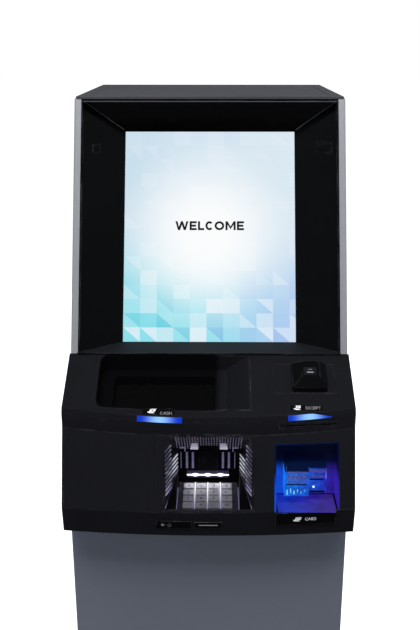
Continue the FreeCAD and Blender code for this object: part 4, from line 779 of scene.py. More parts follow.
# %% Faces, and putting pieces on the machine
def face_at(origin, across, up):
    """Matrix of a face, from a point on it and its two directions."""
    x_axis = Vector(across).normalized()
    y_axis = Vector(up).normalized()
    matrix = Matrix((x_axis, y_axis, x_axis.cross(y_axis))).transposed().to_4x4()
    matrix.translation = Vector(origin)
    return matrix

def fit_out(name, mesh, on, material, bevel=0.0, smooth=False):
    """Make a piece from a mesh, paint it, and let it ride with the part that it sits on."""
    mesh.name = name
    piece = bpy.data.objects.new(name, mesh)
    bpy.context.scene.collection.objects.link(piece)
    mesh.materials.clear()
    mesh.materials.append(material)
    if bevel:
        round_corners(piece, bevel)
    for polygon in mesh.polygons:
        polygon.use_smooth = smooth
    if smooth:
        mesh.set_sharp_from_angle(angle=EDGE_ANGLE)
    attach(piece, body_of[on])
    return piece

def close_up(mesh, gap=0.00001):
    """Weld the seams of a mesh and point its faces outwards."""
    form = bmesh.new()
    form.from_mesh(mesh)
    bmesh.ops.remove_doubles(form, verts=form.verts, dist=gap)
    bmesh.ops.recalc_face_normals(form, faces=form.faces)
    form.to_mesh(mesh)
    form.free()
    return mesh


def joined(meshes):
    """One mesh out of several."""
    form = bmesh.new()
    for mesh in meshes:
        form.from_mesh(mesh)
    together = bpy.data.meshes.new("joined")
    form.to_mesh(together)
    form.free()
    for mesh in meshes:
        bpy.data.meshes.remove(mesh)
    return together


print("fitting helpers ready")


# %% Outlines and plates
def rounded_outline(width, height, radius, centre=(0.0, 0.0), steps=6):
    """Points of a rounded rectangle, in millimetres."""
    points = []
    corners = ((1, 1, 0), (-1, 1, 90), (-1, -1, 180), (1, -1, 270))
    for side_x, side_y, start in corners:
        for step in range(steps + 1):
            angle = math.radians(start + 90 * step / steps)
            points.append((centre[0] + side_x * (width / 2 - radius) + radius * math.cos(angle),
                           centre[1] + side_y * (height / 2 - radius) + radius * math.sin(angle)))
    return points


def circle_outline(radius, centre=(0.0, 0.0), steps=28):
    """Points of a circle, in millimetres."""
    turns = [2 * math.pi * step / steps for step in range(steps)]
    return [(centre[0] + radius * math.cos(a), centre[1] + radius * math.sin(a)) for a in turns]


def plate(outlines, thickness, face, edge=0.0):
    """Closed plate that fills outlines drawn on a face; an outline inside another is a hole."""
    curve = bpy.data.curves.new("plate", "CURVE")
    curve.dimensions = "2D"
    curve.fill_mode = "BOTH"
    curve.extrude = (thickness / 2 - edge) * MM
    curve.bevel_depth = edge * MM
    curve.bevel_resolution = 1
    curve.offset = -edge * MM
    for outline in outlines:
        spline = curve.splines.new("POLY")
        spline.points.add(len(outline) - 1)
        for point, (x, y) in zip(spline.points, outline):
            point.co = (x * MM, y * MM, 0, 1)
        spline.use_cyclic_u = True
    holder = bpy.data.objects.new("plate", curve)
    mesh = bpy.data.meshes.new_from_object(holder)
    bpy.data.objects.remove(holder)
    bpy.data.curves.remove(curve)
    mesh.transform(face @ Matrix.Translation((0, 0, thickness / 2 * MM)))
    return close_up(mesh)
def lifted(face, height):
    """The same face, raised by a height in millimetres."""
    return face @ Matrix.Translation((0, 0, height * MM))

print("plate helpers ready")


# %% Turned pieces and bars
def closed_mesh(form, name):
    """Mesh of a finished form, with its faces pointing outwards."""
    bmesh.ops.recalc_face_normals(form, faces=form.faces)
    mesh = bpy.data.meshes.new(name)
    form.to_mesh(mesh)
    form.free()
    return mesh


def turned(profile, face, steps=40):
    """Turned piece: (radius, height) points in millimetres, spun round a face's outward axis."""
    form = bmesh.new()
    points = [form.verts.new((radius * MM, 0, height * MM)) for radius, height in profile]
    edges = [form.edges.new(pair) for pair in zip(points, points[1:])]
    bmesh.ops.spin(form, geom=points + edges, axis=(0, 0, 1), cent=(0, 0, 0), angle=2 * math.pi, steps=steps)
    bmesh.ops.remove_doubles(form, verts=form.verts, dist=0.000005)
    bmesh.ops.holes_fill(form, edges=form.edges)
    mesh = closed_mesh(form, "turned")
    mesh.transform(face)
    return mesh


def bar(start, end, width, height, up):
    """Straight bar between two points; width and height in millimetres, height along up."""
    start, end = Vector(start), Vector(end)
    along = (end - start).normalized()
    side = along.cross(Vector(up)).normalized() * width / 2 * MM
    rise = side.cross(along).normalized() * height * MM
    form = bmesh.new()
    rings = []
    for point in (start, end):
        rings.append([form.verts.new(point + shift) for shift in (-side, side, side + rise, rise - side)])
    for step in range(4):
        after = (step + 1) % 4
        form.faces.new((rings[0][step], rings[0][after], rings[1][after], rings[1][step]))
    form.faces.new(rings[0])
    form.faces.new(rings[1])
    return closed_mesh(form, "bar")


def block(points):
    """Closed block on eight corners in metres: four round one end, then the same four round the other."""
    mesh = bpy.data.meshes.new("block")
    sides = [(step, (step + 1) % 4, (step + 1) % 4 + 4, step + 4) for step in range(4)]
    mesh.from_pydata([tuple(point) for point in points], [], [(0, 1, 2, 3), (4, 5, 6, 7), *sides])
    return close_up(mesh)
print("bar helpers ready")


# %% Words
def word(text, width, height, depth, face, weight=0.0):
    """Raised word, centred on a face and stretched to a width and height in millimetres."""
    curve = bpy.data.curves.new("word", "FONT")
    curve.body = text
    curve.extrude = 0.02
    curve.offset = weight
    curve.resolution_u = 4
    holder = bpy.data.objects.new("word", curve)
    bpy.context.scene.collection.objects.link(holder)
    bpy.context.view_layer.update()
    mesh = bpy.data.meshes.new_from_object(holder.evaluated_get(bpy.context.evaluated_depsgraph_get()))
    bpy.data.objects.remove(holder)
    bpy.data.curves.remove(curve)
    corners = [Vector(vertex.co) for vertex in mesh.vertices]
    low = Vector(map(min, *corners))
    high = Vector(map(max, *corners))
    size = high - low
    stretch = Matrix.Diagonal((width * MM / size.x, height * MM / size.y, depth * MM / size.z, 1))
    shift = Matrix.Translation(-Vector(((low.x + high.x) / 2, (low.y + high.y) / 2, low.z)))
    mesh.transform(face @ stretch @ shift)
    return close_up(mesh, 0.000001)


print("word helper ready")


# %% [markdown]
# ## Reading faces from the parts
# The pieces to come sit on sloping faces. The direction in which the cash shutter slides is the slope of the
# console's deck, the keys move square to the keypad, and the touch glass gives the lean of the screen. Where
# a face is bowed, a ray shot at the part finds the exact spot.

# %% Deck, keypad and screen faces
def ray_to(names, start, direction):
    """First point where a ray meets any of the parts."""
    nearest = None
    for name in names:
        hit, place, normal, _ = nodes[name].ray_cast(Vector(start), Vector(direction))
        if hit and (nearest is None or (place - Vector(start)).length < (nearest[0] - Vector(start)).length):
            nearest = (place.copy(), normal.copy())
    return nearest


RIGHT, BACK, UP = Vector((1, 0, 0)), Vector((0, 1, 0)), Vector((0, 0, 1))
UP_DECK = Vector(joints["cash_shutter_slide"]["axis"]).normalized()
KEY_OUT = -Vector(joints["key_5_press"]["axis"]).normalized()
UP_KEYS = KEY_OUT.cross(RIGHT).normalized()
FRONT_LIMIT = parts_box[0].y - 0.05
ABOVE_DECK = 1.2


def deck_face(x, y, names=("console_cover", "cash_tray", "reader_frame")):
    """Face on the sloping deck at a plan position in millimetres."""
    place, _ = ray_to(names, (x * MM, y * MM, ABOVE_DECK), (0, 0, -1))
    return face_at(place, (1, 0, 0), UP_DECK)


def front_face(x, z, names):
    """Face on the front of a part, at X and Z in millimetres, square to its surface."""
    place, normal = ray_to(names, (x * MM, FRONT_LIMIT, z * MM), (0, 1, 0))
    if normal.y > 0:
        normal = -normal
    across = Vector((0, 0, 1)).cross(normal).normalized()
    return face_at(place, across, normal.cross(across))


def screen_face():
    """Face at the middle of the touch glass, with the glass's width and height in millimetres."""
    glass = nodes["display_glass"].data
    front = [p for p in glass.polygons if p.normal.y < -0.5]
    corners = [glass.vertices[i].co for p in front for i in p.vertices]
    normal = front[0].normal.copy()
    up = Vector((0, -normal.z, normal.y)) * -1
    heights = [corner.dot(up) for corner in corners]
    middle = sum((Vector(c) for c in (min(corners, key=lambda c: c.dot(up) + c.x),
                                      max(corners, key=lambda c: c.dot(up) + c.x))), Vector()) / 2
    width = max(c.x for c in corners) - min(c.x for c in corners)
    return face_at(middle, (1, 0, 0), up), width / MM, (max(heights) - min(heights)) / MM


SCREEN, GLASS_WIDTH, GLASS_HEIGHT = screen_face()
print("screen normal:", [round(value, 3) for value in SCREEN.col[2][:3]], "glass:", GLASS_WIDTH, GLASS_HEIGHT)


# %% [markdown]
# ## The touch screen and its picture
# The display shows a welcome page: a white glow in the middle, pale blue above, and a loose mosaic of aqua
# and lavender squares and triangles below. The picture is worked out by nodes from two numbers that the mesh
# carries, how far across and how far up the glass a point lies, so it needs no image. The glass has a narrow
# black border that the surround hides.

# %% Picture material
PICTURE_MARGIN = 7.0
MOSAIC = (10.35, 15.0)


def picture_cells(tree, across, up):
    """Random value and half-cell switch of the mosaic."""
    scaled = [maths(tree, "MULTIPLY", coord, count) for coord, count in zip((across, up), MOSAIC)]
    whole = [maths(tree, "FLOOR", value) for value in scaled]
    rest = [maths(tree, "FRACT", value) for value in scaled]
    halves = maths(tree, "GREATER_THAN", maths(tree, "ADD", rest[0], rest[1]), 1.0)
    picks = []
    for shift in (0.0, 37.0):
        cell = tree.nodes.new("ShaderNodeCombineXYZ")
        join(tree, whole[0], cell.inputs["X"])
        join(tree, whole[1], cell.inputs["Y"])
        cell.inputs["Z"].default_value = shift
        pick = tree.nodes.new("ShaderNodeTexWhiteNoise")
        pick.noise_dimensions = "3D"
        join(tree, cell.outputs["Vector"], pick.inputs["Vector"])
        picks.append(pick.outputs["Value"])
    slanted = maths(tree, "MULTIPLY", halves, maths(tree, "GREATER_THAN", picks[1], 0.62))
    return maths(tree, "FRACT", maths(tree, "ADD", picks[0], maths(tree, "MULTIPLY", slanted, 0.43)))

def picture_finish():
    """Glowing welcome picture under the touch glass."""
    material, tree, shader = start_finish("screen_picture", 0.07, 0.0, 0.35, (0.005, 0.005, 0.006))
    where = tree.nodes.new("ShaderNodeUVMap")
    where.uv_map = "picture"
    place = axes_of(tree, where.outputs["UV"])
    across, up = place["X"], place["Y"]
    top = blend_colours(tree, across, (0.60, 0.75, 0.86, 1), (0.72, 0.83, 0.90, 1))
    foot = blend_colours(tree, ramp(tree, across, 0.45, 1.0), (0.30, 0.77, 0.86, 1), (0.50, 0.66, 0.90, 1))
    sheet = blend_colours(tree, ramp(tree, up, 0.12, 0.62, 0.0, 1.0, True), foot, top)
    chance = picture_cells(tree, across, up)
    low_down = ramp(tree, up, 0.38, 0.05, 0.03, 0.85, True)
    deep = maths(tree, "MULTIPLY", ramp(tree, chance, 0.55, 1.0), low_down)
    pale = maths(tree, "MULTIPLY", ramp(tree, chance, 0.45, 0.0), ramp(tree, up, 0.55, 0.05, 0.22, 0.75))
    deeper = blend_colours(tree, ramp(tree, across, 0.2, 0.75), (0.09, 0.62, 0.72, 1), (0.30, 0.46, 0.84, 1))
    tiled = blend_colours(tree, pale, blend_colours(tree, deep, sheet, deeper), (0.86, 0.90, 0.97, 1))
    aside = maths(tree, "MULTIPLY", maths(tree, "SUBTRACT", across, 0.48), 0.86)
    above = maths(tree, "SUBTRACT", up, 0.50)
    squared = maths(tree, "ADD", maths(tree, "MULTIPLY", aside, aside), maths(tree, "MULTIPLY", above, above))
    glow = ramp(tree, maths(tree, "SQRT", squared), 0.08, 0.52, 0.98, 0.0, True)
    picture = blend_colours(tree, glow, tiled, (0.985, 0.995, 1.0, 1))
    inside = 1.0
    for coordinate in (across, up):
        for test, limit in (("GREATER_THAN", 0.0), ("LESS_THAN", 1.0)):
            inside = maths(tree, "MULTIPLY", maths(tree, test, coordinate, limit), inside)
    join(tree, blend_colours(tree, inside, BLACK, picture), shader["Emission Color"])
    shader["Emission Strength"].default_value = 0.97
    smeared_glass(tree, shader, (0.5, 0.5, 0.5), 0.5)
    return material


# %% Touch screen
def touch_screen():
    """Glass with the picture under it, in place of the plain pane."""
    thickness = 3.6
    mesh = plate([rounded_outline(GLASS_WIDTH, GLASS_HEIGHT, 2.0)], thickness, lifted(SCREEN, -thickness), 0.3)
    layer = mesh.uv_layers.new(name="picture")
    back = SCREEN.inverted()
    seen = ((GLASS_WIDTH - 2 * PICTURE_MARGIN) * MM, (GLASS_HEIGHT - 2 * PICTURE_MARGIN) * MM)
    for loop in mesh.loops:
        local = back @ mesh.vertices[loop.vertex_index].co
        layer.data[loop.index].uv = (local.x / seen[0] + 0.5, local.y / seen[1] + 0.5)
    glass = fit_out("touch_screen", mesh, "display_glass", picture_finish(), smooth=True)
    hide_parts("display_glass")


touch_screen()
print("touch screen made")


# %% Inks
def ink(name, tone, roughness=0.5):
    """Printed ink with a trace of grain."""
    material, tree, shader = start_finish(name, roughness)
    join(tree, use_group(tree, DRIFT, Tone=(*tone, 1), Amount=0.10, Scale=300.0)["Color"], shader["Base Color"])
    bump_from(tree, shader, use_group(tree, GRAIN, Scale=2200.0)["Height"], 0.1, 0.0001)
    return material


white_ink = ink("white_ink", (0.80, 0.81, 0.83), 0.55)
grey_ink = ink("grey_ink", (0.26, 0.26, 0.27), 0.5)
black_ink = ink("black_ink", (0.004, 0.004, 0.004), 0.4)
print("inks: white, grey and black")


# %% Greeting on the screen
def letter(sign, left, width, height, stroke):
    """Outlines of one heavy capital letter."""
    w, h, t = width, height, stroke
    arm = h / 2 - t / 2
    if sign in "OC":
        span = (0, 360) if sign == "O" else (42, 318)
        turns = [math.radians(span[0] + (span[1] - span[0]) * step / 40) for step in range(41 - (sign == "O"))]
        rings = [[(w / 2 + (w / 2 - inset) * math.cos(a), h / 2 + (h / 2 - inset) * math.sin(a)) for a in turns]
                 for inset in (0, t)]
        outlines = rings if sign == "O" else [rings[0] + rings[1][::-1]]
    else:
        outlines = [{
            "E": [(0, 0), (w, 0), (w, t), (t, t), (t, arm), (0.9 * w, arm), (0.9 * w, arm + t), (t, arm + t),
                  (t, h - t), (w, h - t), (w, h), (0, h)],
            "L": [(0, 0), (w, 0), (w, t), (t, t), (t, h), (0, h)],
            "M": [(0, 0), (t, 0), (t, 0.62 * h), (w / 2, 0.10 * h), (w - t, 0.62 * h), (w - t, 0), (w, 0), (w, h),
                  (w - t, h), (w / 2, 0.42 * h), (t, h), (0, h)],
            "W": [(0, h), (0.2 * w, 0), (0.2 * w + t, 0), (w / 2, 0.62 * h), (0.8 * w - t, 0), (0.8 * w, 0),
                  (w, h), (w - t, h), (0.8 * w - 0.45 * t, 0.36 * h), (w / 2 + 0.45 * t, h),
                  (w / 2 - 0.45 * t, h), (0.2 * w + 0.45 * t, 0.36 * h), (t, h)],
        }[sign]]
    return [[(x + left, y) for x, y in outline] for outline in outlines]


LETTER_HEIGHT = 16.0
LETTER_STROKE = 3.7
LETTER_GAP = 2.2
LETTER_WIDTHS = {"W": 23.0, "E": 12.5, "L": 11.0, "C": 14.0, "O": 17.0, "M": 18.0}


def greeting_outlines(text):
    """The welcome word, centred on its own origin."""
    total = sum(LETTER_WIDTHS[sign] for sign in text) + LETTER_GAP * (len(text) - 1)
    left = -total / 2
    outlines = []
    for sign in text:
        outlines += letter(sign, left, LETTER_WIDTHS[sign], LETTER_HEIGHT, LETTER_STROKE)
        left += LETTER_WIDTHS[sign] + LETTER_GAP
    return [[(x, y - LETTER_HEIGHT / 2) for x, y in outline] for outline in outlines]

greeting_face = SCREEN @ Matrix.Translation((0, 17.5 * MM, 0.05 * MM))
fit_out("screen_greeting", plate(greeting_outlines("WELCOME"), 0.15, greeting_face), "display_glass", black_ink)
print("screen and greeting made")

# %% [markdown]
# ## Marks on the console
# Beside each guide light the deck has a small white picture and a plain word: CASH, RECEIPT and CARD. They are
# printed, so they stand only a few hundredths of a millimetre proud. Each picture is a hand that takes what
# the machine gives, drawn from a few simple shapes.

# %% Small pictures
def hand_shapes(x, y):
    """Outlines of a reaching hand under a thing, in millimetres."""
    return [[(x - 8, y - 1.2), (x - 5, y - 1.2), (x - 3.4, y - 2.2), (x + 2.6, y - 2.2), (x + 3.2, y - 3.1),
             (x - 1.2, y - 3.2), (x + 4.6, y - 3.9), (x + 4.2, y - 4.8), (x - 3.6, y - 5.0), (x - 8, y - 3.4)]]


def slip(x, y, width, height, lean):
    """A leaning four-cornered thing."""
    return [(x, y), (x + width, y), (x + width + lean, y + height), (x + lean, y + height)]


def cash_picture():
    """Two banknotes over a hand."""
    front_note = slip(-5.6, -1.4, 11.0, 4.6, 2.0)
    return hand_shapes(0, 0) + [front_note, circle_outline(1.3, (1.0, 0.9), 14), slip(-2.8, 3.9, 11.0, 1.0, 0.5)]


def receipt_picture():
    """A printed slip with a torn foot over a hand."""
    teeth = [(-4.0 + step * 1.5, -1.4 + (step % 2) * 0.9) for step in range(7)]
    page = teeth + [(5.6, 4.8), (-3.4, 4.8)]
    return hand_shapes(0, 0) + [page, slip(-1.6, 2.6, 5.0, 0.7, 0.2), slip(-1.8, 1.0, 5.0, 0.7, 0.2)]


def card_picture():
    """A bank card over a hand."""
    return hand_shapes(0, 0) + [slip(-5.4, -1.4, 11.4, 5.8, 1.6), slip(-3.6, 2.2, 10.0, 1.1, 0.3)]

PRINT = 0.12
PICTURE_SCALE = 0.85
WORD_HEIGHT = 5.6
LABELS = (  # name, picture, its place, place of the word, its width, part, ink of the word
    ("cash", cash_picture(), (-90.0, -290.6), (-67.5, -294.2), 19.0, "console_cover", grey_ink),
    ("receipt", receipt_picture(), (142.6, -284.2), (167.0, -284.6), 24.0, "console_cover", grey_ink),
    ("card", card_picture(), (142.5, 818.0), (163.5, 818.0), 18.0, "card_shelf", white_ink),
)
for name, picture, spot, word_spot, width, part, tone in LABELS:
    if part == "card_shelf":
        faces = [front_face(*place, [part]) for place in (spot, word_spot)]
    else:
        faces = [deck_face(*place) for place in (spot, word_spot)]
    shrunk = [[(x * PICTURE_SCALE, y * PICTURE_SCALE) for x, y in outline] for outline in picture]
    fit_out(name + "_picture", plate(shrunk, PRINT, faces[0]), part, white_ink)
    fit_out(name + "_word", word(name.upper(), width, WORD_HEIGHT, PRINT, faces[1]), part, tone, smooth=True)
print("marks made")


# %% [markdown]
# ## Keys
# Each key is a steel cap with its digit cut in and filled with black. A mark rides on its own key, so it goes
# down with the key. The four keys on the right carry plain signs: a cross to cancel, an arrow to go back,
# a question mark for help, and a ring to confirm. The two blank keys stay blank.

# %% Key marks
def cross_outline(arm, thick):
    """A diagonal cross."""
    points = []
    for turn in range(4):
        angle = math.radians(45 + 90 * turn)
        along = Vector((math.cos(angle), math.sin(angle)))
        side = Vector((-along.y, along.x)) * thick
        inner = (along - Vector((-along.y, along.x))).normalized() * thick * math.sqrt(2)
        points += [tuple(inner), tuple(along * arm - side), tuple(along * arm + side)]
    return [points]


KEY_SIGNS = {
    "cancel": cross_outline(3.2, 0.45),
    "clear": [[(-3.6, 0), (-0.6, 2.4), (-0.6, 0.7), (3.4, 0.7), (3.4, -0.7), (-0.6, -0.7), (-0.6, -2.4)]],
    "enter": [circle_outline(2.9), circle_outline(1.9)],
}
engraving = ink("key_engraving", (0.012, 0.012, 0.02), 0.6)
ENGRAVED = 0.10


def key_face(name):
    """Face on top of a key cap."""
    low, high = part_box(name)
    place, _ = ray_to([name], (low + high) / 2 + KEY_OUT * 0.05, -KEY_OUT)
    return face_at(place, RIGHT, UP_KEYS)


for name in [part for part in nodes if part.startswith("key_") and "blank" not in part]:
    sign = name[4:]
    if sign in KEY_SIGNS:
        fit_out(name + "_sign", plate(KEY_SIGNS[sign], ENGRAVED, key_face(name)), name, engraving)
    else:
        text = "?" if sign == "help" else sign
        width = 1.7 if text == "1" else 3.4
        fit_out(name + "_digit", word(text, width, 6.0, ENGRAVED, key_face(name), 0.01), name, engraving,
                smooth=True)
print("keys marked")


# %% [markdown]
# ## Inside the keypad bay
# Light makes this bay: violet-white diodes sit behind a frosted bar at the foot of the back wall, and the
# liner around it is covered in small bright ribs and studs that catch it. The ribs are modelled as real
# bars, and every one finds its place by a ray from inside the bay, so it lies on the liner however that is
# shaped. The light that they catch is painted on them as glow, brighter where the lamp would light them more.

# %% Rays inside the keypad bay
bay_low, bay_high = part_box("keypad_bay")
BAY_MIDDLE = (bay_low.x + bay_high.x) / 2
BACK_Y = bay_high.y - 2.5 * MM
FRONT_Y = bay_low.y + 5 * MM


def ceiling_point(x, y):
    """Point of the bay's ceiling over a place, or None in front of it."""
    found = ray_to(["keypad_bay"], (x, y, keypad_high.z + 8 * MM), UP)
    return found and found[0]


def wall_point(side, y, z):
    """Point on the bay's left (-1) or right (+1) wall, which is flat, from two measured spots."""
    spots = [ray_to(["keypad_bay"], (BAY_MIDDLE + side * 30 * MM, BACK_Y - back * MM, keypad_high.z + 30 * MM),
                    (side, 0, 0))[0] for back in (15, 65)]
    slope = (spots[1].x - spots[0].x) / (spots[1].y - spots[0].y)
    return Vector((spots[0].x + slope * (y - spots[0].y), y, z))


def ceiling_z(y):
    """Height of the bay's ceiling beside the hood."""
    found = ceiling_point(BAY_MIDDLE + 40 * MM, y)
    return found.z if found else bay_high.z


def in_bay(name, meshes, material):
    """Small bars of the keypad bay as one piece."""
    fit_out(name, joined(meshes), "keypad_bay", material)


print("keypad bay:", [round((high - low) / MM) for low, high in zip(bay_low, bay_high)], "mm")


# %% Ribs of the side walls
RIB_PITCH = 7.6
RIB_FALL = 0.235
RIB_STACK = 17
RIB_SPANS = ((0.05, 0.46), (0.52, 0.95))


def rib_ends(front_z, span):
    """Y and Z of the two ends of one slanted rib."""
    depths = [FRONT_Y + (BACK_Y - FRONT_Y) * share for share in span]
    return [(y, front_z - RIB_FALL * (y - FRONT_Y)) for y in depths]


def rib_fits(ends):
    """Whether a rib lies between the ramp and the ceiling."""
    ramp_tops = [keypad_low.z + (36 - 15 * (BACK_Y - y) / (BACK_Y - FRONT_Y)) * MM for y, _ in ends]
    return all(top < z < ceiling_z(y) - 9 * MM for (y, z), top in zip(ends, ramp_tops))
def bay_ribs(side, name):
    """Slanted ribs of one side wall, stacked up to the ceiling, with painted highlights: upper ones brightest at
    the back, lower ones in front.
    """
    upper, lower = [], []
    for step in range(RIB_STACK):
        for span in RIB_SPANS:
            ends = rib_ends(keypad_low.z + (28 + RIB_PITCH * step) * MM, span)
            if rib_fits(ends):
                stack = upper if ends[0][1] > keypad_high.z + 34 * MM else lower
                stack.append(bar(*[wall_point(side, y, z) for y, z in ends], 2.4, 0.9, (-side, 0, 0)))
    in_bay(name + "_upper", upper, rib_painted_highlight)
    in_bay(name + "_lower", lower, low_rib_painted_highlight)


# Painted highlights: the ribs glow with the light that the lamp would put on them, upper ribs at the back, lower
# ribs in front.
rib_painted_highlight = lit_plastic("rib_painted_highlight", "Y", FRONT_Y + 20 * MM, BACK_Y - 20 * MM, (0.05, 0.045, 0.085),
                       (0.60, 0.63, 0.72), 1.0, 0.5, 60.0)
low_rib_painted_highlight = lit_plastic("low_rib_painted_highlight", "Y", FRONT_Y, BACK_Y - 30 * MM, (0.30, 0.27, 0.46),
                           (0.10, 0.095, 0.15), 1.0, 0.5, 60.0)
# Painted highlights for the studs, rim, ramp lines and brackets, and painted light for the back ribs and keypad
# edges, brighter low down.
line_painted_highlight = lit_plastic("line_painted_highlight", "Y", FRONT_Y, BACK_Y, (0.17, 0.155, 0.24), (0.22, 0.20, 0.32), 1.0, 0.4)
dim_painted_highlight = lit_plastic("dim_painted_highlight", "Z", bay_low.z, bay_high.z, (0.17, 0.15, 0.30), (0.06, 0.055, 0.10), 1.0, 0.5)
bay_ribs(-1, "bay_ribs_left")
bay_ribs(1, "bay_ribs_right")


# %% Studs and lines of the ceiling, ribs of the back wall
def bay_studs():
    """Rows of small studs on the ceiling."""
    studs = []
    for row in range(8):
        y = FRONT_Y + (0.30 + 0.083 * row) * (BACK_Y - FRONT_Y)
        for column in range(25):
            x = BAY_MIDDLE + (column - 12) * 4.4 * MM
            found = ray_to(["keypad_bay"], (x, y, keypad_high.z + 8 * MM), UP)
            if found and found[0].z > ceiling_z(y) - 2 * MM:
                start = found[0] - RIGHT * 0.7 * MM
                studs.append(bar(start, start + RIGHT * 1.4 * MM, 1.3, 0.9, found[1]))
    # The studs carry painted highlights.
    in_bay("bay_ceiling_studs", studs, line_painted_highlight)


def painted_ceiling_highlights():
    """Two stacks of lines on the ceiling, one on each side of the hood, with painted highlights brightest towards
    the back wall.
    """
    lines = []
    for side in (-1, 1):
        for step in range(6):
            y = BACK_Y - (8 + 5.5 * step) * MM
            start = BAY_MIDDLE + side * 18.5 * MM
            ends = [ceiling_point(x, y) for x in (start, start + side * (13 - step * 0.6) * MM)]
            lines.append(bar(*ends, 2.4, 0.8, -UP))
    # Painted highlight on the ceiling lines, brightest towards the back wall; the local name lamp holds this
    # painted light.
    lamp = lit_plastic("ceiling_painted_highlight", "Y", BACK_Y - 45 * MM, BACK_Y - 8 * MM, (0.25, 0.26, 0.38),
                       (0.62, 0.64, 0.74), 1.0, 0.3, 400.0)
    in_bay("bay_ceiling_painted_highlights", lines, lamp)


def back_ribs():
    """Upright ribs on the back wall and flutes down the front of the hood."""
    bars, flutes = [], []
    for x in (-47, -37, -27, 24, 34, 44):
        foot = ray_to(["keypad_bay"], (x * MM, BACK_Y - 12 * MM, keypad_high.z + 20 * MM), BACK)[0]
        bars.append(bar(foot, foot + UP * 30 * MM, 1.2 if abs(x) > 40 else 3.6, 0.9, -BACK))
    # The back ribs carry painted light, brighter low down near the lamp.
    in_bay("bay_back_ribs", bars, dim_painted_highlight)
    for step in range(5):
        x = BAY_MIDDLE + (step - 2) * 5.2 * MM - 1.3 * MM
        foot = ray_to(["keypad_bay"], (x, FRONT_Y, keypad_high.z + 33.5 * MM), BACK)[0]
        flutes.append(bar(foot, foot + UP * 32 * MM, 2.4, 1.1, -BACK))
    in_bay("hood_flutes", flutes, finishes["console_black"])


# %% Rim, brackets and ramps
RAMP_PATH = ((BACK_Y - 4 * MM, 37), (BACK_Y - 24 * MM, 28), (FRONT_Y, 21))


def rim_bars():
    """Rim of the bay's mouth with a painted highlight, found by rays from its middle."""
    centre = Vector((BAY_MIDDLE, bay_low.y + 5.5 * MM, (bay_low.z + bay_high.z) / 2))
    rim = []
    for step in range(29):
        angle = math.radians(-22 + 224 * step / 28)
        found = ray_to(["keypad_bay"], centre, (math.cos(angle), 0, math.sin(angle)))
        if found and found[0].z < bay_high.z - 1.5 * MM:
            rim.append(found[0])
    return [bar(first, second, 2.2, 1.3, Vector((centre.x, first.y, centre.z)) - first)
            for first, second in zip(rim, rim[1:]) if (second - first).length < 60 * MM]


def bay_lines():
    """Painted highlight lines: the rim of the mouth, the ramps beside the keys and two corner brackets."""
    bars = rim_bars()
    for side in (-1, 1):
        path = [wall_point(side, y, keypad_low.z + z * MM) for y, z in RAMP_PATH]
        bars += [bar(first, second, 1.0, 1.0, (-side, 0, 0)) for first, second in zip(path, path[1:])]
        corner, inner = [ceiling_point(BAY_MIDDLE + side * x * MM, BACK_Y - 14 * MM) for x in (49, 40)]
        bars.append(bar(corner, inner, 1.2, 1.0, -UP))
        bars.append(bar(inner, inner - UP * 7 * MM, 1.2, 1.0, -BACK))
    in_bay("bay_painted_highlight_lines", bars, line_painted_highlight)


# %% Ramps beside the keys and painted light between them
def key_surrounds():
    """Black ramps between the keypad and the walls, and painted highlights along the edges of the keypad."""
    ramps, edges = [], []
    foot, shoulder = keypad_low.z + 3 * MM, keypad_low.z + 11 * MM
    for side, pad_x in ((-1, keypad_low.x), (1, keypad_high.x)):
        edge_x = pad_x + side * 1.6 * MM
        ends = []
        for y, z in (RAMP_PATH[0], RAMP_PATH[-1]):
            outer = wall_point(side, y, keypad_low.z + z * MM)
            outer.x -= side * 0.4 * MM
            ends += [Vector((edge_x, y, foot)), Vector((outer.x, y, foot)), outer, Vector((edge_x, y, shoulder))]
        ramps.append(block(ends))
        start = Vector((edge_x, BACK_Y - 22 * MM, keypad_high.z - 6 * MM))
        edges.append(bar(start, Vector((edge_x, FRONT_Y, shoulder)), 1.7, 1.4, UP))
    in_bay("bay_ramps", ramps, finishes["plate_black"])
    in_bay("keypad_edge_painted_highlights", edges, dim_painted_highlight)


def key_gaps():
    """Painted light in the gaps between the columns of keys, as spilled down from the lamp bar."""
    columns = sorted({round((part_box(n)[0].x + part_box(n)[1].x) / 2, 4) for n in nodes if n.startswith("key_")})
    gaps = []
    for first, second in zip(columns, columns[1:]):
        ends = [ray_to(["keypad_body"], ((first + second) / 2, y, keypad_high.z + 10 * MM), -UP)[0]
                for y in (keypad_low.y + 9 * MM, keypad_high.y - 2 * MM)]
        gaps.append(bar(*ends, 2.2, 1.2, KEY_OUT))
    # Painted light: the gaps glow white at the back and violet in front; the local name lamp holds this painted
    # light.
    lamp = lit_plastic("gap_painted_light", "Y", keypad_low.y, keypad_high.y, (0.16, 0.14, 0.30), (1.0, 0.98, 1.0), 1.1,
                       0.15)
    fit_out("key_gap_painted_light", joined(gaps), "keypad_bay", lamp)


for make in (bay_studs, painted_ceiling_highlights, back_ribs, bay_lines, key_surrounds, key_gaps):
    make()
print("keypad bay dressed")


# %% [markdown]
# ## Inside the card bay
# The card reader's mouthpiece is clear plastic full of blue light, and thin clear fins rise from it. Its light
# on the bay's walls and floor is painted light: the liner and a thin sheet over the floor glow blue by
# themselves. A dark slot takes the card, its shade painted as dark bars, and a small diode beside it is
# brighter than the rest. All of these are thin bars laid across the front of the mouthpiece.

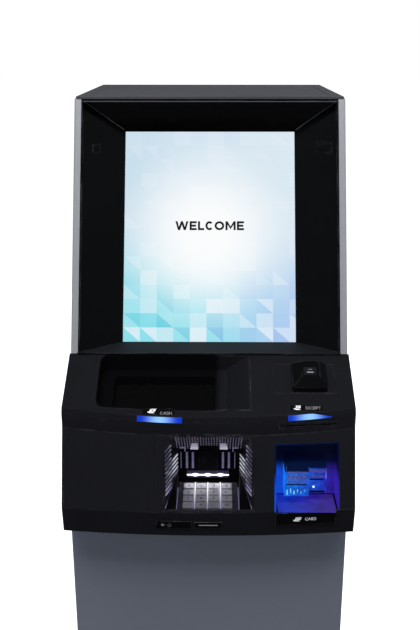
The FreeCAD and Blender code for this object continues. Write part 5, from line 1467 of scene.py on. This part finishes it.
# %% Blue light and fins
MOUTH_BARS = {  # left end, right end, height over the floor, thickness and depth of each bar, in millimetres
    "card_slot_shadow": ((163, 186, 872, 2.6, 0.8), (124, 157, 869, 1.8, 0.8), (163, 188, 850, 5.0, 0.8)),
    "card_violet_bands": ((125, 157, 888.5, 3.6, 0.8), (125, 157, 881.5, 5.0, 0.9), (125, 157, 874.5, 3.0, 0.9),
                          (163, 186, 886, 5.0, 0.8), (163, 186, 877.5, 2.6, 0.9)),
    "card_hot_spots": [(125.5 + 5.5 * step, 127.0 + 5.5 * step, 858 if step % 2 else 855, 8.0 - step, 0.8)
                       for step in range(6)],
}
MOUTH_TONES = {
    # Painted shadow of the card slot, in black ink.
    "card_slot_shadow": black_ink,
    "card_violet_bands": lit_plastic("violet_bands", "X", mouth_low.x, mouth_high.x, (0.11, 0.14, 0.62),
                                     (0.09, 0.07, 0.50), 0.8, 0.8, 420.0),
    "card_hot_spots": lit_plastic("hot_spots", "X", mouth_low.x, mouth_high.x - 20 * MM, (0.45, 0.85, 1.0),
                                  (0.03, 0.25, 1.0), 1.0, 0.4, 300.0),
}


def card_fins():
    """Clear upright fins over the mouthpiece."""
    fins = []
    for x, top in ((124.5, 898), (160.5, 896), (188.0, 895)):
        foot = Vector((x * MM, mouth_low.y + 4 * MM, mouth_high.z - 14 * MM))
        fins.append(bar(foot, (foot.x, foot.y, top * MM), 1.3, 4.0, BACK))
    glow = lit_plastic("fin_glow", "Z", mouth_high.z - 14 * MM, mouth_high.z + 6 * MM, (0.16, 0.18, 0.95),
                       (0.02, 0.014, 0.06), 1.0, 0.2)
    fit_out("card_fins", joined(fins), "card_bezel", glow)


def mouth_bar(x0, x1, z, height, depth):
    """Bar across the front of the mouthpiece, laid against the nearer of its two ends."""
    found = [ray_to(["card_bezel"], (x * MM, FRONT_LIMIT, z * MM), BACK) for x in (x0, x1)]
    y = max(place.y for place, _ in filter(None, found))
    return bar((x0 * MM, y, z * MM), (x1 * MM, y, z * MM), height, depth, -BACK)


def card_diode():
    """Small bright diode beside the slot."""
    dome = turned([(0, 1.6), (1.2, 1.3), (1.8, 0.4), (1.9, 0)], front_face(169.6, 858.4, ["card_bezel"]), 20)
    spark = lit_plastic("diode_glow", "X", mouth_low.x, mouth_high.x, (0.75, 0.97, 1.0), (0.7, 0.95, 1.0), 1.4, 0.1)
    fit_out("card_diode", dome, "card_bezel", spark, smooth=True)


def card_floor():
    """Thin sheet over the shelf inside the bay, glowing with painted light spilled from the mouthpiece."""
    low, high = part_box("card_bay")
    left, right = low.x + 5 * MM, high.x - 5 * MM
    front, back = mouth_low.y - 21 * MM, mouth_high.y - 3 * MM
    outline = [(left + 1 * MM, front), (right - 2 * MM, front), (right, front + 16 * MM), (right, back),
               (left, back), (left, front + 16 * MM)]
    face = face_at((0, 0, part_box("card_shelf")[1].z), RIGHT, BACK)
    # Painted light: blue spill from the mouthpiece on the bay's floor, as a glowing sheet.
    glow = lit_plastic("floor_painted_spill", "X", low.x, high.x, (0.004, 0.030, 0.80), (0.060, 0.015, 0.40), 0.6, 0.5, 70.0)
    sheet = plate([[(x / MM, y / MM) for x, y in outline]], 0.4, face)
    fit_out("card_floor_painted_spill", sheet, "card_shelf", glow)


card_fins()
for name, bars in MOUTH_BARS.items():
    fit_out(name, joined([mouth_bar(*sizes) for sizes in bars]), "card_bezel", MOUTH_TONES[name])
card_diode()
card_floor()
print("card bay dressed")


# %% [markdown]
# ## Small fittings on the front
# The contactless reader carries a small printed tag. The headphone plate has a steel ring for its socket and
# a plain sign, and the name plate has a line where a name could stand.

# %% Reader tag, socket and name plate
block_low, block_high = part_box("reader_block")
reader_face = deck_face((block_low.x + block_high.x) / 2 / MM + 1, (block_low.y + block_high.y) / 2 / MM + 1,
                        ["reader_block"])
TAG_DEPTH = 0.3
fit_out("reader_tag", plate([rounded_outline(21, 16, 1.5)], TAG_DEPTH, reader_face), "reader_block",
        finishes["gloss_black"])
tag_lines = [rounded_outline(11, 2.2, 0.8, (0, -2.5)), rounded_outline(7, 0.9, 0.4, (0, 3.2))]
fit_out("reader_tag_print", plate(tag_lines, 0.15, lifted(reader_face, TAG_DEPTH)), "reader_block", grey_ink)


def plate_face(name, x):
    """Face at mid height of a small front plate."""
    low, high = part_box(name)
    return front_face(x, (low.z + high.z) / 2 / MM, [name])


ring = turned([(1.9, 0), (3.2, 0), (3.1, 0.7), (2.2, 0.7), (1.9, 0)], plate_face("headset_plate", -62), 24)
fit_out("headset_ring", ring, "headset_plate", finishes["plain_steel"], smooth=True)
headset_sign = [(-3.2, 0.2), (-0.6, 0.2), (-1.4, 3.4), (3.2, -0.6), (0.6, -0.6), (1.4, -3.6)]
fit_out("headset_sign", plate([headset_sign], PRINT, plate_face("headset_plate", -73)), "headset_plate", grey_ink)
fit_out("name_plate_line", plate([rounded_outline(30, 1.6, 0.7)], PRINT, plate_face("name_plate", 0)),
        "name_plate", grey_ink)
print("front fittings made")


# %% [markdown]
# ## Screws on the side panels
# The sides of a real cabinet are plain, so what is there matters: a row of low dome screws holds each side
# panel along its rear fold. One screw is turned and repeated at every place as part of one mesh, because
# the screws of one panel never move apart. The rear and top are flush, and nothing stands out of them.

# %% Screws on the panels
SCREW_PROFILE = [(0, 1.0), (1.4, 0.95), (2.9, 0.6), (3.6, 0), (0, 0)]
SCREW_PLACES = [(328, 92 + 265 * step) for step in range(6)]  # behind the middle and over the floor

for side, name in ((-1, "left"), (1, "right")):
    low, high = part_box("side_panel_" + name)
    flank = face_at((low.x if side < 0 else high.x, 0, 0), (0, side, 0), UP)
    meshes = []
    for back, up in SCREW_PLACES:
        spot = flank @ Matrix.Translation((side * back * MM, up * MM, 0))
        meshes.append(turned(SCREW_PROFILE, spot, 16))
        meshes.append(plate([rounded_outline(3.6, 0.8, 0.2)], 0.25, lifted(spot, 0.9)))
    fit_out("side_screws_" + name, joined(meshes), "side_panel_" + name, finishes["plain_steel"], smooth=True)
print("panels screwed")


# %% [markdown]
# ## Behind the front door
# When the front door swings open it shows the safe. The door itself has a rubber seal and two stiffening
# ribs; the safe's door has a combination dial, a small keypad lock and a plate. These pieces ride on their
# own doors, and they are kept thinner than the gap that the closed door leaves.

# %% Inside of the front door
door_low, door_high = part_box("front_door")
SEAL_INSET = 26 * MM
STIFFENER_INSET = 45 * MM
STIFFENER_HEIGHTS = (250 * MM, 640 * MM)


def inside_of_door(x, z):
    """Point on the inner skin of the front door."""
    y = ray_to(["front_door"], (x, door_high.y + 0.02, z), -BACK)[0].y
    return Vector((x, y, z))


low_x, high_x = door_low.x + SEAL_INSET, door_high.x - SEAL_INSET
low_z, high_z = door_low.z + SEAL_INSET, door_high.z - SEAL_INSET
skin_y = inside_of_door(0.0, (door_low.z + door_high.z) / 2).y
corners = [Vector((x, skin_y, z)) for x, z in ((low_x, low_z), (high_x, low_z), (high_x, high_z), (low_x, high_z))]
seal = [bar(first, second, 7.0, 3.0, BACK) for first, second in zip(corners, corners[1:] + corners[:1])]
fit_out("door_seal", joined(seal), "front_door", ink("door_rubber", (0.010, 0.010, 0.011), 0.7), bevel=0.8,
        smooth=True)
ribs = [bar(*[inside_of_door(x, z) for x in (door_low.x + STIFFENER_INSET, door_high.x - STIFFENER_INSET)],
            34.0, 3.0, BACK) for z in STIFFENER_HEIGHTS]
fit_out("door_stiffeners", joined(ribs), "front_door", finishes["module_aluminium"], bevel=0.8, smooth=True)


# %% Dial, lock and plate of the safe
DIAL_PROFILE = [(0, 4.0), (15, 4.0), (17, 3.4), (17.6, 1.6), (24, 1.2), (25, 0), (0, 0)]
DIAL_MARKS = 30
KEYPAD_DEPTH = 2.4


def on_safe(name, mesh, material, smooth=True):
    """A piece on the door of the safe."""
    fit_out(name, mesh, "safe_door", material, smooth=smooth)


def dial_mark(step):
    """Outline of one radial mark; every fifth is longer."""
    angle = 2 * math.pi * step / DIAL_MARKS
    inner, outer, side = 18.6, 22.6 if step % 5 else 23.6, 0.25
    return [(math.cos(angle) * r - math.sin(angle) * s, math.sin(angle) * r + math.cos(angle) * s)
            for r, s in ((inner, -side), (outer, -side), (outer, side), (inner, side))]


dial_face, lock_face, label_face = [front_face(x, z, ["safe_door"]) for x, z in ((-10, 470), (70, 470), (30, 560))]
on_safe("safe_dial", turned(DIAL_PROFILE, dial_face, 48), finishes["plain_steel"])
marks = [dial_mark(step) for step in range(DIAL_MARKS)]
on_safe("safe_dial_marks", plate(marks, 0.1, lifted(dial_face, 1.45)), black_ink, smooth=False)
on_safe("safe_keypad", plate([rounded_outline(46, 62, 5)], KEYPAD_DEPTH, lock_face, 0.5), finishes["moulded_black"])
buttons = [rounded_outline(9, 8, 2, (13 * (column - 1), 12.5 * (row - 1.5) - 4)) for column in range(3)
           for row in range(4)]
on_safe("safe_keypad_buttons", plate(buttons, 1.0, lifted(lock_face, KEYPAD_DEPTH), 0.2), grey_ink)
on_safe("safe_plate", plate([rounded_outline(90, 26, 3)], 0.6, label_face, 0.1), finishes["plain_steel"])
print("doors dressed")


# %% [markdown]
# ## Inside the safe
# Each note cassette carries a coloured tag, which is how staff tell them apart.

# %% Cassette tags
cassette_low, cassette_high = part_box("note_cassettes")
TAG_TONES = ((0.02, 0.10, 0.35), (0.02, 0.22, 0.08), (0.45, 0.24, 0.02), (0.35, 0.03, 0.03))
height = (cassette_high.z - cassette_low.z) / len(TAG_TONES) / MM
for step, tone in enumerate(TAG_TONES):
    tag_face = front_face(-80, cassette_low.z / MM + height * (step + 0.5) + 22, ["note_cassettes"])
    fit_out("cassette_tag_%d" % (step + 1), plate([rounded_outline(34, 14, 2)], 0.5, tag_face, 0.1),
            "note_cassettes", ink("tag_ink_%d" % (step + 1), tone, 0.45), smooth=True)
print("cassettes tagged:", len(TAG_TONES))


# %% [markdown]
# ## Seams of the surround
# The surround is four polished faces that meet on mitres. Along each mitre and along the top edge, a thin
# light line is painted on as a highlight, where the edges would catch the light. The corners of the glass and
# of the surround give both ends of each mitre, and rays set the depth.

# %% Painted highlight lines on the mitres and the top edge
rim_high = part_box("display_surround")[1]


def hairline(first, second, width):
    """Thin bar on the front of the surround, between two (x, z) places in metres."""
    ends = [ray_to(["display_surround"], (x, FRONT_LIMIT, z), BACK)[0] for x, z in (first, second)]
    return bar(*ends, width, 0.25, (0, -1, 0.3))


glass_top = (SCREEN @ Vector((0, GLASS_HEIGHT / 2 * MM, 0))).z - PICTURE_MARGIN * MM
painted_highlight_lines = [hairline((side * (rim_high.x - 4 * MM), rim_high.z - 5 * MM),
                  (side * (GLASS_WIDTH / 2 - PICTURE_MARGIN + 2) * MM, glass_top + 4 * MM), 0.9)
         for side in (-1, 1)]
edge_x, edge_z = rim_high.x - 3 * MM, rim_high.z - 2.5 * MM
painted_highlight_lines.append(hairline((-edge_x, edge_z), (edge_x, edge_z), 1.0))
# Painted highlight: a grey tone on the black surround.
fit_out("surround_painted_highlight_lines", joined(painted_highlight_lines), "display_surround", ink("seam_painted_highlight", (0.075, 0.078, 0.085), 0.3))
print("seams drawn")


# %% [markdown]
# ## Label inlays
# Under the pictures and words for cash and receipt, smooth dark inlays are let into the textured deck.

# %% Inlays
DECK_RISE = math.hypot(UP_DECK.y, UP_DECK.z) / UP_DECK.y
for name, x0, x1, y0, y1 in (("cash", -105, -54, -297, -286.5), ("receipt", 130, 182, -289, -280)):
    face = deck_face((x0 + x1) / 2, (y0 + y1) / 2)
    outline = rounded_outline(x1 - x0, (y1 - y0) * DECK_RISE, 1.2)
    fit_out(name + "_inlay", plate([outline], 0.06, face), "console_cover", finishes["plate_black"])
print("inlays laid")
